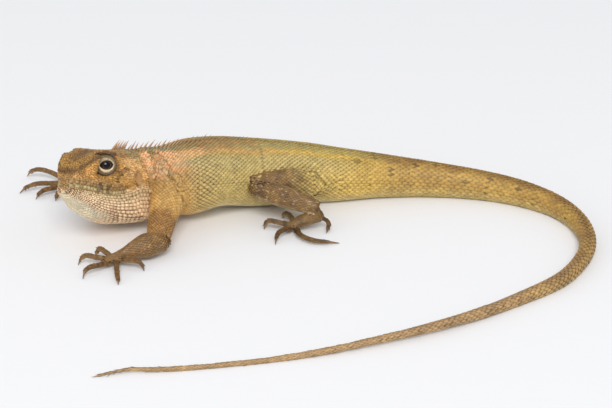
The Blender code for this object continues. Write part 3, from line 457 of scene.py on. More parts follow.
def leg_lines():
    """The legs: each one's name, the sweeps of its lengths and those of its digits."""
    hind = (THIGH_LEFT, SHIN_LEFT, SOLE_LEFT)
    tables = [("arm_left", (ARM_LEFT, FOREARM_LEFT, PALM_LEFT), FINGERS_LEFT),
              ("arm_right", (ARM_RIGHT, FOREARM_RIGHT, PALM_RIGHT), FINGERS_RIGHT),
              ("leg_left", hind, TOES_LEFT),
              ("leg_right", [mirrored(rows) for rows in hind], [mirrored(toe) for toe in TOES_LEFT])]
    return [(name, [Sweep(rows, LEG_REFERENCE) for rows in lengths],
             [digit_line(joints) for joints in digits]) for name, lengths, digits in tables]


def digit_line(joints):
    radii = [TOE_RADIUS * 1.15, TOE_RADIUS, TOE_RADIUS * 0.95, CLAW_RADIUS * 1.1]
    rows = [(*joint, r, r) for joint, r in zip(joints[:-1], radii)]
    return Sweep(rows + [(*joints[-1], 0.12, 0.16)], DIGIT_REFERENCE)


legs = leg_lines()


# The skin: every form as rings, joined by a fine voxel mesh and smoothed

class Forms:
    """Closed forms gathered into one mesh."""

    def __init__(self):
        self.points, self.faces = [], []

    def add(self, rings, tip_start, tip_end):
        base = len(self.points)
        sides = len(rings[0])
        for ring in rings:
            self.points.extend(ring)
        for r in range(len(rings) - 1):
            low, high = base + r * sides, base + (r + 1) * sides
            for k in range(sides):
                n = (k + 1) % sides
                self.faces.append((low + k, low + n, high + n, high + k))
        for first, tip, turn in ((base, tip_start, -1), (base + (len(rings) - 1) * sides, tip_end, 1)):
            self.points.append(tip)
            top = len(self.points) - 1
            for k in range(sides):
                n = (k + 1) % sides
                self.faces.append((first + k, first + n, top)[::turn])


def coat_depth(radius):
    return min(COAT, COAT_SHARE * radius)


def add_capsule(forms, sweep, sides, spacing, inset, last=None):
    """A limb length with rounded ends."""
    last = sweep.length if last is None else last
    count = max(3, round(last / spacing))
    stations = [(last * k / count, 1.0, 0.0) for k in range(count + 1)]
    tips = []
    for place, sign in ((0.0, -1), (last, 1)):
        centre, left, up, sizes = sweep.frame(place)
        radius = sizes[0] - inset
        tips.append(centre + np.cross(up, left) * radius * sign)
        for part in ROUND_PARTS:
            shift = radius * math.sqrt(1 - part * part) * sign
            stations.insert(0 if sign < 0 else len(stations), (place, part, shift))
    forms.add([sweep.ring(s, sides, -inset, scale, shift) for s, scale, shift in stations], *tips)


def head_ring(back, scale=1.0):
    """A ring of the head's skin, drawn in towards its middle where scale is under 1."""
    outline = head.section(min(back, HEAD_LENGTH), HEAD_SIDES)
    middle = np.array([0.0, head.middle * step(0, 12, back)])
    offset = (outline - middle) * scale
    reach = np.maximum(np.linalg.norm(offset, axis=1, keepdims=True), 0.3)
    offset = offset * (1 - COAT / reach) + middle
    return [head.point(back, a, c) for a, c in offset]


def add_head(forms):
    backs = [HEAD_LENGTH * (k / HEAD_RINGS) ** 1.6 for k in range(1, HEAD_RINGS + 1)]
    rings = [head_ring(b) for b in [0.02] + backs]
    for past, scale in HEAD_REAR:
        rings.append(head_ring(HEAD_LENGTH + past, scale))
    forms.add(rings, head.point(0.0, 0, 0), head.point(HEAD_LENGTH + HEAD_REAR[-1][0], 0, head.middle))
    for side in (1, -1):
        rows = []
        for b in np.linspace(4.5, 21.0, 12):
            c = profile(BROW_RIDGE, b)
            thick = 0.85 * math.sin(math.pi * (b - 3.5) / 18.5) ** 0.5
            rows.append((*head.flank(side, b, c, 0.55), thick, thick))
        add_capsule(forms, Sweep(rows, head.up), FINE_SIDES, 0.8, 0.1)


def build_forms():
    forms = Forms()
    add_head(forms)
    s = spine.start - NECK_INSIDE
    rings = []
    while s < spine.length:
        radius = spine.frame(s)[3][0]
        rings.append(spine.ring(s, BODY_SIDES, -coat_depth(radius)))
        s += max(0.35, min(1.2, radius * 0.4))
    first = spine.frame(spine.start - NECK_TIP)[0]
    forms.add(rings, first, spine.frame(spine.length + TAIL_POINT)[0])
    for _, lengths, digits in legs:
        for sweep in lengths:
            inset = coat_depth(sweep.frame(sweep.length / 2)[3][0])
            add_capsule(forms, sweep, LIMB_SIDES, 0.6, inset)
        for sweep in digits:
            add_capsule(forms, sweep, FINE_SIDES, 0.4, DIGIT_COAT, last=sweep.curve.t[3])
    return forms


def mesh_from(points, faces, name):
    mesh = bpy.data.meshes.new(name)
    mesh.from_pydata([tuple(p) for p in points], [], [tuple(f) for f in faces])
    mesh.update()
    return mesh


def link(name, data):
    """A mesh, light or camera as an object of the scene."""
    made = bpy.data.objects.new(name, data)
    bpy.context.scene.collection.objects.link(made)
    return made


def evaluated(obj):
    bpy.context.view_layer.update()
    graph = bpy.context.evaluated_depsgraph_get()
    mesh = bpy.data.meshes.new_from_object(obj.evaluated_get(graph))
    obj.modifiers.clear()
    obj.data = mesh
    return mesh


def set_tint(mesh, tints):
    """The colours of a mesh's points, which the materials read."""
    layer = mesh.color_attributes.new("Tint", "FLOAT_COLOR", "POINT")
    layer.data.foreach_set("color", np.column_stack([tints, np.ones(len(tints))]).ravel())


def closed_piece(name, points, faces, materials, tints=None):
    """A closed mesh from points in millimetres, facing outward, as an object that rides the body."""
    mesh = mesh_from(points * MM, faces, name)
    if tints is not None:
        set_tint(mesh, tints)
    work = bmesh.new()
    work.from_mesh(mesh)
    bmesh.ops.recalc_face_normals(work, faces=work.faces)
    work.to_mesh(mesh)
    work.free()
    mesh.shade_smooth()
    for material in materials:
        mesh.materials.append(material)
    made = link(name, mesh)
    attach(made, "root")
    return made


def coordinates(mesh):
    flat = np.empty(len(mesh.vertices) * 3)
    mesh.vertices.foreach_get("co", flat)
    return flat.reshape(-1, 3)


def smooth(points, edges, rounds, shares, weight=1.0):
    """Moves points to their neighbours' middle by shares in turn; weight is each point's part in it."""
    count = np.bincount(edges.ravel(), minlength=len(points)).astype(float)[:, None]
    for _ in range(rounds):
        for share in shares:
            total = np.zeros_like(points)
            for axis in range(3):
                total[:, axis] = (np.bincount(edges[:, 0], points[edges[:, 1], axis], len(points))
                                  + np.bincount(edges[:, 1], points[edges[:, 0], axis], len(points)))
            points = points + (total / count - points) * share * weight
    return points


def carve_head(points):
    """Eye sockets, ear pits, nostrils and the line of the mouth, pressed into the skin."""
    local = head.local(points)
    for side in (1, -1):
        centre, look = head.eye(side, SOCKET_FORWARD)
        offset = points - centre
        along = offset @ look
        across = offset - np.outer(along, look)
        radius = np.linalg.norm(across, axis=1)
        bowl = ORBIT_RADIUS + COAT
        floor = ORBIT_PROUD - np.sqrt(np.maximum(bowl ** 2 - radius ** 2, 0))
        hole = EYE_RADIUS + EYE_SLACK
        floor = np.where(radius < hole, -np.sqrt(np.maximum(hole ** 2 - radius ** 2, 0)), floor)
        inside = (radius < bowl) & (along > floor) & (along < ORBIT_PROUD + 1.6)
        points[inside] = centre + across[inside] + np.outer(floor[inside], look)
        for place, reach in ((EAR_CENTRE, EAR_RADIUS), (NOSTRIL, NOSTRIL_REACH)):
            distance = np.linalg.norm(points - head.flank(side, *place), axis=1)
            press = np.clip((1.2 - distance / reach) / 0.4, 0, 1)
            press = press * press * (3 - 2 * press) * PIT_DEPTH
            points -= np.outer(press * side, head.left)
    mouth = np.array([profile(MOUTH_LINE, b) for b in np.clip(local[:, 0], 0, MOUTH_CORNER)])
    near = np.exp(-((local[:, 2] - mouth) / MOUTH_REACH) ** 2)
    near = near * (local[:, 0] < MOUTH_CORNER) * (local[:, 0] > -1)
    middle = head.tip + np.outer(local[:, 0], head.back) + np.outer(mouth, head.up)
    inward = middle - points
    inward /= np.maximum(np.linalg.norm(inward, axis=1, keepdims=True), 0.5)
    return points + inward * (near * MOUTH_DEPTH)[:, None]


def build_skin():
    """One closed mesh of the whole animal, in millimetres."""
    forms = build_forms()
    made = link("skin", mesh_from(forms.points, forms.faces, "skin"))
    remesh = made.modifiers.new("join", "REMESH")
    remesh.mode = "VOXEL"
    remesh.voxel_size = VOXEL
    mesh = evaluated(made)
    edges = np.empty(len(mesh.edges) * 2, int)
    mesh.edges.foreach_get("vertices", edges)
    edges = edges.reshape(-1, 2)
    points = coordinates(mesh)
    points = smooth(points, edges, SMOOTH_ROUNDS, KEEP_VOLUME)
    weight = np.zeros(len(points))
    for _, lengths, _ in legs:
        joins = [(lengths[0].frame(lengths[0].length * share)[0], ROOT_BLEND) for share in (0.0, 0.45)]
        joins += [(lengths[1].frame(0)[0], KNEE_BLEND), (lengths[2].frame(0)[0], WRIST_BLEND)]
        for place, radius in joins:
            reach = np.linalg.norm(points - place, axis=1)
            weight = np.maximum(weight, np.clip(1.6 - reach / radius, 0, 1))
    points = smooth(points, edges, FILL_ROUNDS, FILL_CREASES, weight[:, None])
    points = carve_head(points)
    points[:, 2] = np.maximum(points[:, 2], COAT * FLOOR_COAT)
    mesh.vertices.foreach_set("co", points.ravel())
    mesh.update()
    triangles = sum(len(p.vertices) - 2 for p in mesh.polygons)
    thin = made.modifiers.new("thin", "DECIMATE")
    thin.ratio = min(1.0, SKIN_TRIANGLES / triangles)
    evaluated(made)
    return made


skin = build_skin()
skin_points = coordinates(skin.data)
skin_faces = [tuple(p.vertices) for p in skin.data.polygons]
surface = BVHTree.FromPolygons([Vector(p) for p in skin_points], skin_faces)
print("skin", len(skin_faces), flush=True)


# Scales: flat solids of a few outlines, each with shares of edge to middle colour

def keeled():
    """A pointed scale with a ridge: root at 0, tip at 1 along Y, half width 1, height 1."""
    rim = [(-0.55, 0.0, 0.1), (-0.98, 0.36, 0.42), (-0.62, 0.76, 0.66), (0.0, 1.06, 0.92),
           (0.62, 0.76, 0.66), (0.98, 0.36, 0.42), (0.55, 0.0, 0.1)]
    ridge = [(0.0, -0.02, 0.3), (0.0, 0.36, 0.86), (0.0, 0.76, 1.05)]
    under = [(x * 0.96, y * 0.97, min(z - 0.5, 0.35)) for x, y, z in rim]
    faces = [(0, 7, 8, 1), (1, 8, 9, 2), (2, 9, 3), (3, 9, 4), (4, 9, 8, 5), (5, 8, 7, 6), (6, 7, 0)]
    faces += [(k, k + 1, 11 + k, 10 + k) for k in range(6)] + [(6, 0, 10, 16)]
    faces.append(tuple(range(16, 9, -1)))
    shades = [0, 0.15, 0.4, 0.7, 0.4, 0.15, 0, 0.2, 0.85, 1.0] + [0] * 7
    return rim + ridge + under, faces, shades


def bordered():
    """A pointed, keeled scale with a dark border: root at 0, tip at 1 along Y."""
    half = [(-0.55, 0.0, 0.1), (-1.0, 0.36, 0.42), (-0.66, 0.78, 0.66)]
    rim = half + [(0.0, 1.08, 0.9)] + [(-x, y, z) for x, y, z in half[::-1]]
    half = [(-0.4, 0.04, 0.25), (-0.74, 0.36, 0.66), (-0.46, 0.7, 0.86)]
    inner = half + [(0.0, 0.88, 1.05)] + [(-x, y, z) for x, y, z in half[::-1]]
    ridge = [(0.0, 0.0, 0.3), (0.0, 0.4, 1.02)]
    under = [(x * 0.96, y * 0.97, min(z - 0.5, 0.35)) for x, y, z in rim]
    faces = [(k, k + 1, 8 + k, 7 + k) for k in range(6)]
    faces += [(7, 8, 15, 14), (8, 9, 15), (9, 10, 15), (10, 11, 15), (11, 12, 15), (12, 13, 14, 15)]
    faces.append((0, 7, 14, 13, 6))
    faces += [(k + 1, k, 16 + k, 17 + k) for k in range(6)] + [(0, 6, 22, 16)]
    faces.append(tuple(range(16, 23)))
    shades = [0.0] * 7 + [0.2, 0.55, 0.75, 0.85, 0.75, 0.55, 0.2] + [0.4, 1.0] + [0.0] * 7
    return rim + inner + ridge + under, faces, shades


def plate(corners=8, square=3.2):
    """A low plate with a rounded rim; half width 1, from 0 to 1 along Y."""
    rim, inner, under = [], [], []
    for k in range(corners):
        turn = 2 * math.pi * (k + 0.5) / corners
        c, n = math.cos(turn), math.sin(turn)
        x = math.copysign(abs(c) ** (2 / square), c)
        y = math.copysign(abs(n) ** (2 / square), n)
        rim.append((x, 0.5 + y * 0.5, 0.35))
        inner.append((x * 0.68, 0.5 + y * 0.33, 0.86))
        under.append((x * 0.97, 0.5 + y * 0.48, -0.6))
    points = rim + inner + under + [(0, 0.5, 1.0)]
    faces = []
    for k in range(corners):
        n = (k + 1) % corners
        faces.append((k, n, corners + n, corners + k))
        faces.append((corners + k, corners + n, 3 * corners))
        faces.append((n, k, 2 * corners + k, 2 * corners + n))
    faces.append(tuple(range(3 * corners - 1, 2 * corners - 1, -1)))
    return points, faces, [0.1] * corners + [0.8] * corners + [0.0] * corners + [1.0]


TEMPLATES = {"keeled": keeled(), "bordered": bordered(), "plate": plate(), "block": plate(8, 6.0),
             "bead": plate(6, 2.0)}


Scale = namedtuple("Scale", "group kind place out along width length height edge middle uv bend")


class Coat:
    """Scales as they are set, kept apart from one another."""
    cell = 2.0

    def __init__(self):
        self.scales = []
        self.cells = {}

    def free(self, place, distance):
        low = np.floor((place - distance) / self.cell).astype(int)
        high = np.floor((place + distance) / self.cell).astype(int)
        for i in range(low[0], high[0] + 1):
            for j in range(low[1], high[1] + 1):
                for k in range(low[2], high[2] + 1):
                    for other in self.cells.get((i, j, k), ()):
                        if np.dot(other - place, other - place) < distance * distance:
                            return False
        return True

    def add(self, group, kind, place, out, along, width, length, height, edge, middle, uv, bend=0.0):
        out = unit(out)
        along = flattened(along, out)
        self.scales.append(Scale(group, kind, place, out, along, width, length, height, edge, middle, uv,
                                 bend))
        self.mark(place)

    def mark(self, place):
        self.cells.setdefault(tuple(np.floor(place / self.cell).astype(int)), []).append(place)


coat = Coat()
draw = random.Random(SEED)


def hit(origin, direction, expected, slack=1.1):
    """The skin's point and normal along a ray from inside, near an expected distance."""
    place, normal, _, distance = surface.ray_cast(Vector(origin), Vector(direction), expected + slack)
    if place is None or abs(distance - expected) > slack:
        return None
    return np.array(place), np.array(normal)


def hit_between(origin, target):
    """The skin's point and normal on the way from inside to a point of the solids' face."""
    return hit(origin, unit(target - origin), np.linalg.norm(target - origin) - COAT, 1.6)


ATLAS = {"body": (0.0, 0.0, 1.0, 0.45), "legs": (0.0, 0.46, 0.66, 0.34), "head": (0.67, 0.46, 0.33, 0.54),
         "digits": (0.0, 0.81, 0.66, 0.19)}


def atlas(name, u, v):
    u0, v0, width, height = ATLAS[name]
    return (u0 + width * min(max(u, 0.004), 0.996), v0 + height * min(max(v, 0.006), 0.994))


def shade_pair(edge, middle, spread=0.12):
    """The two colours of one scale, a little unlike its neighbours'."""
    tone = 1 + draw.uniform(-spread, spread)
    return edge * tone, middle * tone


STRIPE_RISE = [(0, 70), (8, 67), (17, 65), (25, 59), (39, 54), (57, 62), (75, 60), (95, 50), (380, 40)]


def tail_colours(s, rise, wave):
    """The tail's own colour: gold, browner above and paler below, greyer to the tip."""
    gold = mix(TAIL_GOLD, TAIL_BROWN, 0.25 + 0.5 * wave + 0.5 * step(45, 75, rise))
    gold = mix(gold, TAIL_PALE, step(10, -45, rise) * 0.7)
    rings = 0.5 + 0.5 * math.sin(s * 0.42 + 2 * wave)
    gold = mix(gold, TAIL_BROWN, rings * 0.4 * step(130, 200, s))
    return mix(gold, TAIL_END * (1 - 0.2 * rings), 0.75 * step(170, 260, s))


def body_colours(s, angle, place):
    """Edge and middle colours of a scale on neck, trunk or tail; s from the back of the head."""
    rise = fold(angle)
    if rise < -90:
        rise = -180 - rise
    wave = blotch(place, 6.0)
    fine = blotch(place, 1.6, 5.0)
    stripe = profile(STRIPE_RISE, s)
    above = step(stripe - 4, stripe + 6, rise)
    back = mix(BACK, OLIVE, step(25, 60, s) + 0.3 * wave)
    back = mix(back, BACK_RED, 0.5 * step(0.1, 0.4, fine) * step(80, 30, s))
    back = mix(back, TEAL, 0.5 * step(0.1, 0.4, -fine) * step(95, 50, s))
    low = mix(FLANK, YELLOW, step(45, 75, s) * 0.6)
    low = mix(low, BELLY, step(-18, -55, rise))
    low = mix(low, SHOULDER, step(30, 15, s) * (0.75 + 0.25 * step(32, 15, rise)))
    low = mix(low, NECK_PINK * 1.1, 0.75 * step(24, 12, s) * step(12, 35, rise))
    streak = math.sin(math.radians(rise * 22.0 + 50 * wave))
    low = mix(low, TEAL, step(0.35, 0.9, streak) * step(22, 14, s) * step(12, 24, rise) * 0.4)
    tone = 1.15 - 0.4 * step(0, 40, rise) + 0.35 * step(25, 40, rise) * step(24, 16, s)
    tone -= 0.25 * math.exp(-((rise - 8) / 15) ** 2) * step(30, 22, s)
    # Painted shade: the trunk's lower belly darker, where it lies near the floor
    tone -= 0.25 * step(-28, -42, rise) * step(25, 40, s)
    base = mix(low * tone, back, above)
    band = math.exp(-((rise - stripe - 3 * wave) / 8.0) ** 2) * step(4, 16, s)
    base = mix(base, mix(STRIPE, YELLOW, step(35, 70, s)), band * (0.7 + 0.4 * wave))
    for along, height, reach, spread, colour, strength in PATCHES:
        distance = ((s - along) / reach) ** 2 + ((rise - height) / spread) ** 2
        if distance < 4:
            base = mix(base, colour, strength * math.exp(-distance) * (1 + 0.5 * fine))
    base = mix(base, tail_colours(s, rise, wave), step(72, 100, s))
    spotted = step(stripe - 2, stripe - 12, rise) * step(-55, -30, rise) * step(15, 24, s) * step(86, 66, s)
    middle = mix(base * 1.2, FLANK_SPOT, 0.6 * spotted)
    edge = mix(base * 0.55, FLANK_EDGE, 0.75 * spotted)
    edge = mix(edge, base * 0.8, 0.6 * step(-30, -60, rise))
    for along, height, reach in TAIL_SPOTS:
        if math.hypot(s - along, (rise - height) / 12.0) < reach:
            edge, middle = edge * 0.6, middle * 0.5
    return edge, middle


# Rows of scales along the spine: where, how wide a scale is and how far apart the rows are
SCALE_PLACES = [0, 12, 25, 40, 80, 110, 180, 300, 370]
SCALE_WIDTHS = [0.95, 1.15, 1.4, 1.5, 1.6, 2.0, 1.8, 1.05, 0.7]
SCALE_PITCHES = [0.6, 0.7, 0.8, 0.86, 0.92, 1.25, 1.2, 0.9, 0.65]
LEG_TONES = {"arm": (0.95, 0.66, 0.72), "leg": (0.95, 0.95, 0.72)}
SHOULDER_SPAN = (3.0, 33.0)    # where the trunk's rows run on over the roots of the fore legs
SHOULDER_REACH = 5.0           # how far out they follow them
ROW_CHANGE = 0.14              # rows keep their number of scales until it is this share off
ROOT_COLOURS = {"arm": (0.48, 0.7), "leg": (0.15, 0.6)}   # shares of a leg where the trunk's colour ends


def columns(circumference, width):
    """An even number of scales round a section."""
    return max(5, 2 * round(circumference / width / 2))


def row_angles(count, row):
    """The angles of a row's scales; every other row is shifted by half a scale."""
    return (np.arange(count) + 0.5 * (row % 2)) * 360.0 / count - 90.0


def fold(angle):
    """How far above the level an angle round a section is, in degrees, the same left and right."""
    return angle if angle <= 90 else 180 - angle


def cover_body():
    """Rows of pointed scales round the neck, trunk and tail."""
    s = spine.start + 0.3
    row = 0
    count = 0
    while s < spine.length:
        centre, left, up, sizes = spine.frame(s)
        mean = (sizes[0] + sizes[1]) / 2
        along0 = s - spine.start
        width = float(np.interp(along0, SCALE_PLACES, SCALE_WIDTHS))
        pitch = float(np.interp(along0, SCALE_PLACES, SCALE_PITCHES))
        slack = 2.4 if along0 < TORSO_END else 1.1
        if SHOULDER_SPAN[0] < along0 < SHOULDER_SPAN[1]:
            slack = SHOULDER_REACH
        wanted = columns(2 * math.pi * mean, width)
        if abs(wanted - count) > ROW_CHANGE * wanted:
            count = wanted
        angles = row_angles(count, row)
        outline = spine.outline(s, angles)
        ahead = np.cross(up, left)
        for angle, (x, y) in zip(angles, outline):
            reach = math.hypot(x, y)
            direction = (left * x + up * y) / reach
            found = hit(centre, direction, reach - coat_depth(mean), slack)
            if found is None or np.dot(found[1], direction) < 0.45 or is_bare(found[0]):
                continue
            place, normal = found
            w = 2 * math.pi * np.linalg.norm(place - centre) / count * 1.04
            if not coat.free(place, min(w, pitch * 2) * 0.5):
                continue
            rise = fold(angle)
            lift = up * (0.38 * step(-35, 5, rise) * step(88, 50, rise) * step(105, 60, along0))
            edge, middle = shade_pair(*body_colours(along0, angle, place))
            small = 0.72 + 0.28 * step(-75, -40, rise) if along0 < 90 else 1.0
            height = 0.5 * min(1.0, w / 1.5) * small
            uv = atlas("body", along0 / (spine.length - spine.start), (angle + 90) / 360)
            coat.add("body", "bordered", place, normal, ahead + lift, w * 0.5, pitch * 2.4, height,
                     edge, middle, uv, bend=0.5 / reach)
        s += pitch
        row += 1


TRUNK_PLACES = np.arange(0.0, 100.0, 1.0)
TRUNK_FRAMES = [spine.frame(spine.start + s) for s in TRUNK_PLACES]
TRUNK_LINE = np.array([row[0] for row in TRUNK_FRAMES])


def on_trunk(place):
    """Where a point lies on the trunk: along the spine, and its rise in degrees."""
    k = int(np.argmin(np.linalg.norm(TRUNK_LINE - place, axis=1)))
    centre, left, up, _ = TRUNK_FRAMES[k]
    offset = place - centre
    return TRUNK_PLACES[k], math.degrees(math.atan2(offset @ up, offset @ left))


def leg_colours(name, part, share, rise, place):
    """Leg scales: brown with dark and pale marks, and the trunk's colours where a leg leaves it."""
    wave = blotch(place, 3.4, 3.0)
    fine = blotch(place, 1.0, 7.0)
    base = mix(LEG, LEG_DARK, 0.4 + 0.8 * wave)
    if name.startswith("arm"):
        base = mix(base, ARM_TAN, (0.7 - 0.3 * share, 0.4, 0.3)[part])
    base = mix(base, LEG_PALE, step(0.1, 0.45, fine) * (0.16, 0.34, 0.1)[part])
    base = mix(base, LEG_PALE, 0.5 * step(-20, -60, rise)) * LEG_TONES[name[:3]][part]
    edge, middle = base * 0.28, base * 1.35
    if part == 0:
        start, end = ROOT_COLOURS[name[:3]]
        left = step(start, end, share + 0.06 * wave)
        if left < 1:
            low, high = body_colours(*on_trunk(place), place)
            low = mix(low, high * 0.7, 0.5)
            edge, middle = mix(low, edge, left), mix(high, middle, left)
    return edge, middle


def cover_legs():
    """Rows of pointed scales round each length of the legs, and then the digits."""
    for index, (name, lengths, digits) in enumerate(legs):
        for part, sweep in enumerate(lengths):
            s = -sweep.frame(0)[3][0] * 0.4
            row = 0
            last = sweep.length + sweep.frame(sweep.length)[3][0] * 0.3
            while s < last:
                size = (1.5 - 0.35 * step(0.1, 0.7, s / last), 1.05, 0.8)[part]
                within = min(max(s, 0), sweep.length)
                centre, left, up, sizes = sweep.frame(within)
                ahead = np.cross(up, left)
                centre = centre + ahead * (s - within)
                count = columns(2 * math.pi * sizes[0], size)
                angles = row_angles(count, row)
                for angle, (x, y) in zip(angles, sweep.outline(within, angles)):
                    reach = math.hypot(x, y)
                    found = hit(centre, (left * x + up * y) / reach, reach - coat_depth(reach), 1.7)
                    if found is None:
                        continue
                    place, normal = found
                    w = 2 * math.pi * reach / count
                    if not coat.free(place, w * 0.5):
                        continue
                    rise = fold(angle)
                    edge, middle = shade_pair(*leg_colours(name, part, s / sweep.length, rise, place), 0.2)
                    u = (index * 3 + part + min(max(s / last, 0), 0.98)) / 12
                    uv = atlas("legs", u, (angle + 90) / 360)
                    coat.add(name[:3] + "s", "bordered", place, normal, ahead, w * 0.54, size * 1.25,
                             0.4 * size, edge, middle, uv, bend=0.5 / reach)
                s += size * 0.53
                row += 1
        for number, sweep in enumerate(digits):
            cover_digit(name, index * 5 + number, sweep)


DIGIT_COLUMNS = 8
DIGIT_PITCH = 0.4


def cover_digit(name, order, sweep):
    """Scales round a digit, up to a little past the start of its claw."""
    last = sweep.curve.t[3] + 0.5
    s, row = 0.0, 0
    while s < last:
        centre, left, up, sizes = sweep.frame(s)
        ahead = np.cross(up, left)
        for angle in row_angles(DIGIT_COLUMNS, row):
            turn = math.radians(angle)
            direction = left * math.cos(turn) + up * math.sin(turn)
            found = hit(centre, direction, sizes[0] - DIGIT_COAT, 0.45)
            if found is None:
                continue
            place, normal = found
            if not coat.free(place, 0.3):
                continue
            rise = fold(angle)
            edge, middle = shade_pair(*leg_colours(name, 2, s / last, rise, place), 0.2)
            band = 0.55 * step(0.1, 0.8, math.sin(s * 3.4 + order)) * step(-10, 20, rise)
            edge, middle = mix(edge, INK, band), mix(middle, LEG_DARK, band)
            uv = atlas("digits", (order + s / last * 0.95) / 20, (angle + 90) / 360)
            coat.add("digits", "keeled", place, normal, ahead, sizes[0] * 0.44, 0.92, 0.24, edge, middle,
                     uv, bend=0.5 / sizes[0])
        s += DIGIT_PITCH
        row += 1


def head_colours(local, place):
    """Head scales: brown crown and snout, orange cheek, pale near the mouth."""
    b, a, c = local
    wave = blotch(place, 3.0, 1.0)
    fine = blotch(place, 0.9, 4.0)
    base = mix(HEAD_TOP, SNOUT, step(14, 5, b) + 0.2 * wave)
    brow = profile(BROW_HEIGHT, max(b, 0))
    crown = step(brow - 1.6, brow - 0.4, c)
    side = mix(LOREAL, CHEEK, step(9, 14, b))
    side = mix(side, TEMPLE, step(18, 25, b) * step(0, 4, c))
    side = mix(side, DARK_LINE * 1.6, 0.4 * step(0.0, 0.4, wave) * step(18, 10, b))
    lip = step(3.4, 1.4, c - profile(MOUTH_LINE, min(max(b, 0), MOUTH_CORNER))) * step(24, 18, b)
    side = mix(side, LABIAL * 0.7, 0.65 * lip)
    side = mix(side, DARK_LINE * 1.5, 0.4 * lip * step(0.1, 0.4, fine))
    base = mix(side, base, crown)
    base = mix(base, TEAL, 0.35 * step(24, 32, b) * step(6, 10, c))
    line = profile(CANTHUS, min(max(b, 0), 17.0))
    base = mix(base, DARK_LINE, 0.75 * math.exp(-((c - line + 0.5) / 0.75) ** 2) * step(19, 15, b))
    eye = np.linalg.norm(np.array([b, abs(a), c]) - np.array(EYE_CENTRE))
    # Dark ring round the lids: dark scales with painted shade of the socket's wall
    base = mix(base, DARK_LINE * 1.2, step(4.8, 4.0, eye) * 0.6)
    base = mix(base, base * (1.25 if fine > 0 else 0.75), step(0.05, 0.5, abs(fine)))
    base = mix(base, THROAT, 0.55 * step(2.4, 0.2, c - throat_top(b)) * step(14, 24, b))
    ear = math.hypot(b - EAR_CENTRE[0], c - EAR_CENTRE[1])
    ear_front = step(EAR_RADIUS + 1.4, EAR_RADIUS + 0.6, ear) * step(0.5, -1.0, b - EAR_CENTRE[0])
    base = mix(base, DARK_LINE, 0.6 * ear_front)
    # Painted shadows of the ear spines, as dark spots on the temple
    for back, height, reach in SPINE_SHADOW_SPOTS:
        base = mix(base, INK, 0.85 * step(reach * 1.2, reach * 0.6, math.hypot(b - back, c - height)))
    return base * 0.7, base * 1.1


def throat_colours(b, arc_share, place):
    """Throat scales: pale with brown edges, finer and greyer at the front of its underside."""
    wave = blotch(place, 2.6, 2.0)
    plain = step(20, 13, b) * step(0.62, 0.4, arc_share)
    middle = mix(THROAT, THROAT_FRONT, plain)
    middle = mix(middle, LABIAL_LOW, step(0.75, 1.0, arc_share) * 0.6)
    edge = mix(THROAT_EDGE, THROAT_FRONT * 0.62, 0.8 * plain)
    middle = mix(middle, THROAT_EDGE * 1.5, 0.3 * step(0.1, 0.5, wave) * (1 - plain))
    return edge, middle


THROAT_ROWS = 16               # on each side
THROAT_START = 0.9


def throat_top(b):
    """Height of the throat's highest row on the side of the head."""
    return profile(MOUTH_LINE, min(b, MOUTH_CORNER)) - 1.55 + 1.6 * step(24, 30, b)


def throat_arc(b):
    """The left half of the throat's section, from its middle up to the jaw, and lengths along it."""
    outline = head.section(min(b, HEAD_LENGTH), 2 * OUTLINE_POINTS)
    lower = outline[(outline[:, 0] >= -1e-6) & (outline[:, 1] <= throat_top(b))]
    lower = lower[np.argsort(lower[:, 1] + 0.001 * lower[:, 0])]
    return lower, np.concatenate([[0.0], np.cumsum(np.linalg.norm(np.diff(lower, axis=0), axis=1))])


def cover_throat():
    """Brick-like scales in rows that run back from the chin, finer in front."""
    for row in range(THROAT_ROWS):
        b = THROAT_START + 0.5 * (row % 2)
        while b < HEAD_LENGTH + 1.2:
            lower, arc = throat_arc(b)
            tall = arc[-1] / THROAT_ROWS
            length = max(0.7, min(1.75, tall * 1.75))
            at = arc[-1] * (row + 0.5) / THROAT_ROWS
            across, c = np.interp(at, arc, lower[:, 0]), np.interp(at, arc, lower[:, 1])
            for side in (1, -1):
                a = across * side
                origin = head.point(b, a * 0.3, -3.0 + (c + 3.0) * 0.3)
                found = hit_between(origin, head.point(b, a, c))
                if found is None:
                    continue
                place, normal = found
                if not coat.free(place, min(tall, length) * 0.6):
                    continue
                edge, middle = shade_pair(*throat_colours(b, at / arc[-1], place), 0.1)
                ahead = head.back + (head.left * side * 0.2 - head.up * 0.25) * step(24, 6, b)
                uv = atlas("head", 0.36 + 0.62 * b / 35, 0.5 + 0.48 * side * at / 26.0)
                coat.add("throat", "block", place - unit(ahead) * length * 0.5, normal, ahead,
                         tall * draw.uniform(0.48, 0.54), length * 1.08, 0.42 * draw.uniform(0.85, 1.15),
                         edge, middle, uv, bend=0.06)
                coat.mark(place)
            b += length * draw.uniform(0.92, 1.04)


def on_head(b, c, side):
    """The skin's point and normal on one side of the head."""
    a = head.side(b, c)
    origin = head.point(b, 0.0, c)
    if a < 2.0:
        origin = head.point(b + 3, 0.0, c)
    return hit_between(origin, head.point(b, side * a, c))


# Rows of plates on the head: kind, line followed, height above it, where it starts and ends, and
# each plate's length, width and thickness
HEAD_ROWS = [("upper_lip", MOUTH_LINE, 0.65, 0.3, 22.6, 1.3, 1.05, 0.3),
             ("lower_lip", MOUTH_LINE, -0.65, 0.3, 22.4, 1.3, 1.05, 0.3),
             ("above_lip", MOUTH_LINE, 1.6, 2.0, 22.5, 1.0, 0.8, 0.28),
             ("brow", BROW_RIDGE, 0.1, 6.5, 21.5, 1.3, 0.95, 0.38),
             ("brow", BROW_RIDGE, -0.85, 6.5, 12.0, 1.2, 0.8, 0.3)]
LIP_BARS = (10.6, 14.2)        # dark bars across the lips, behind the snout tip


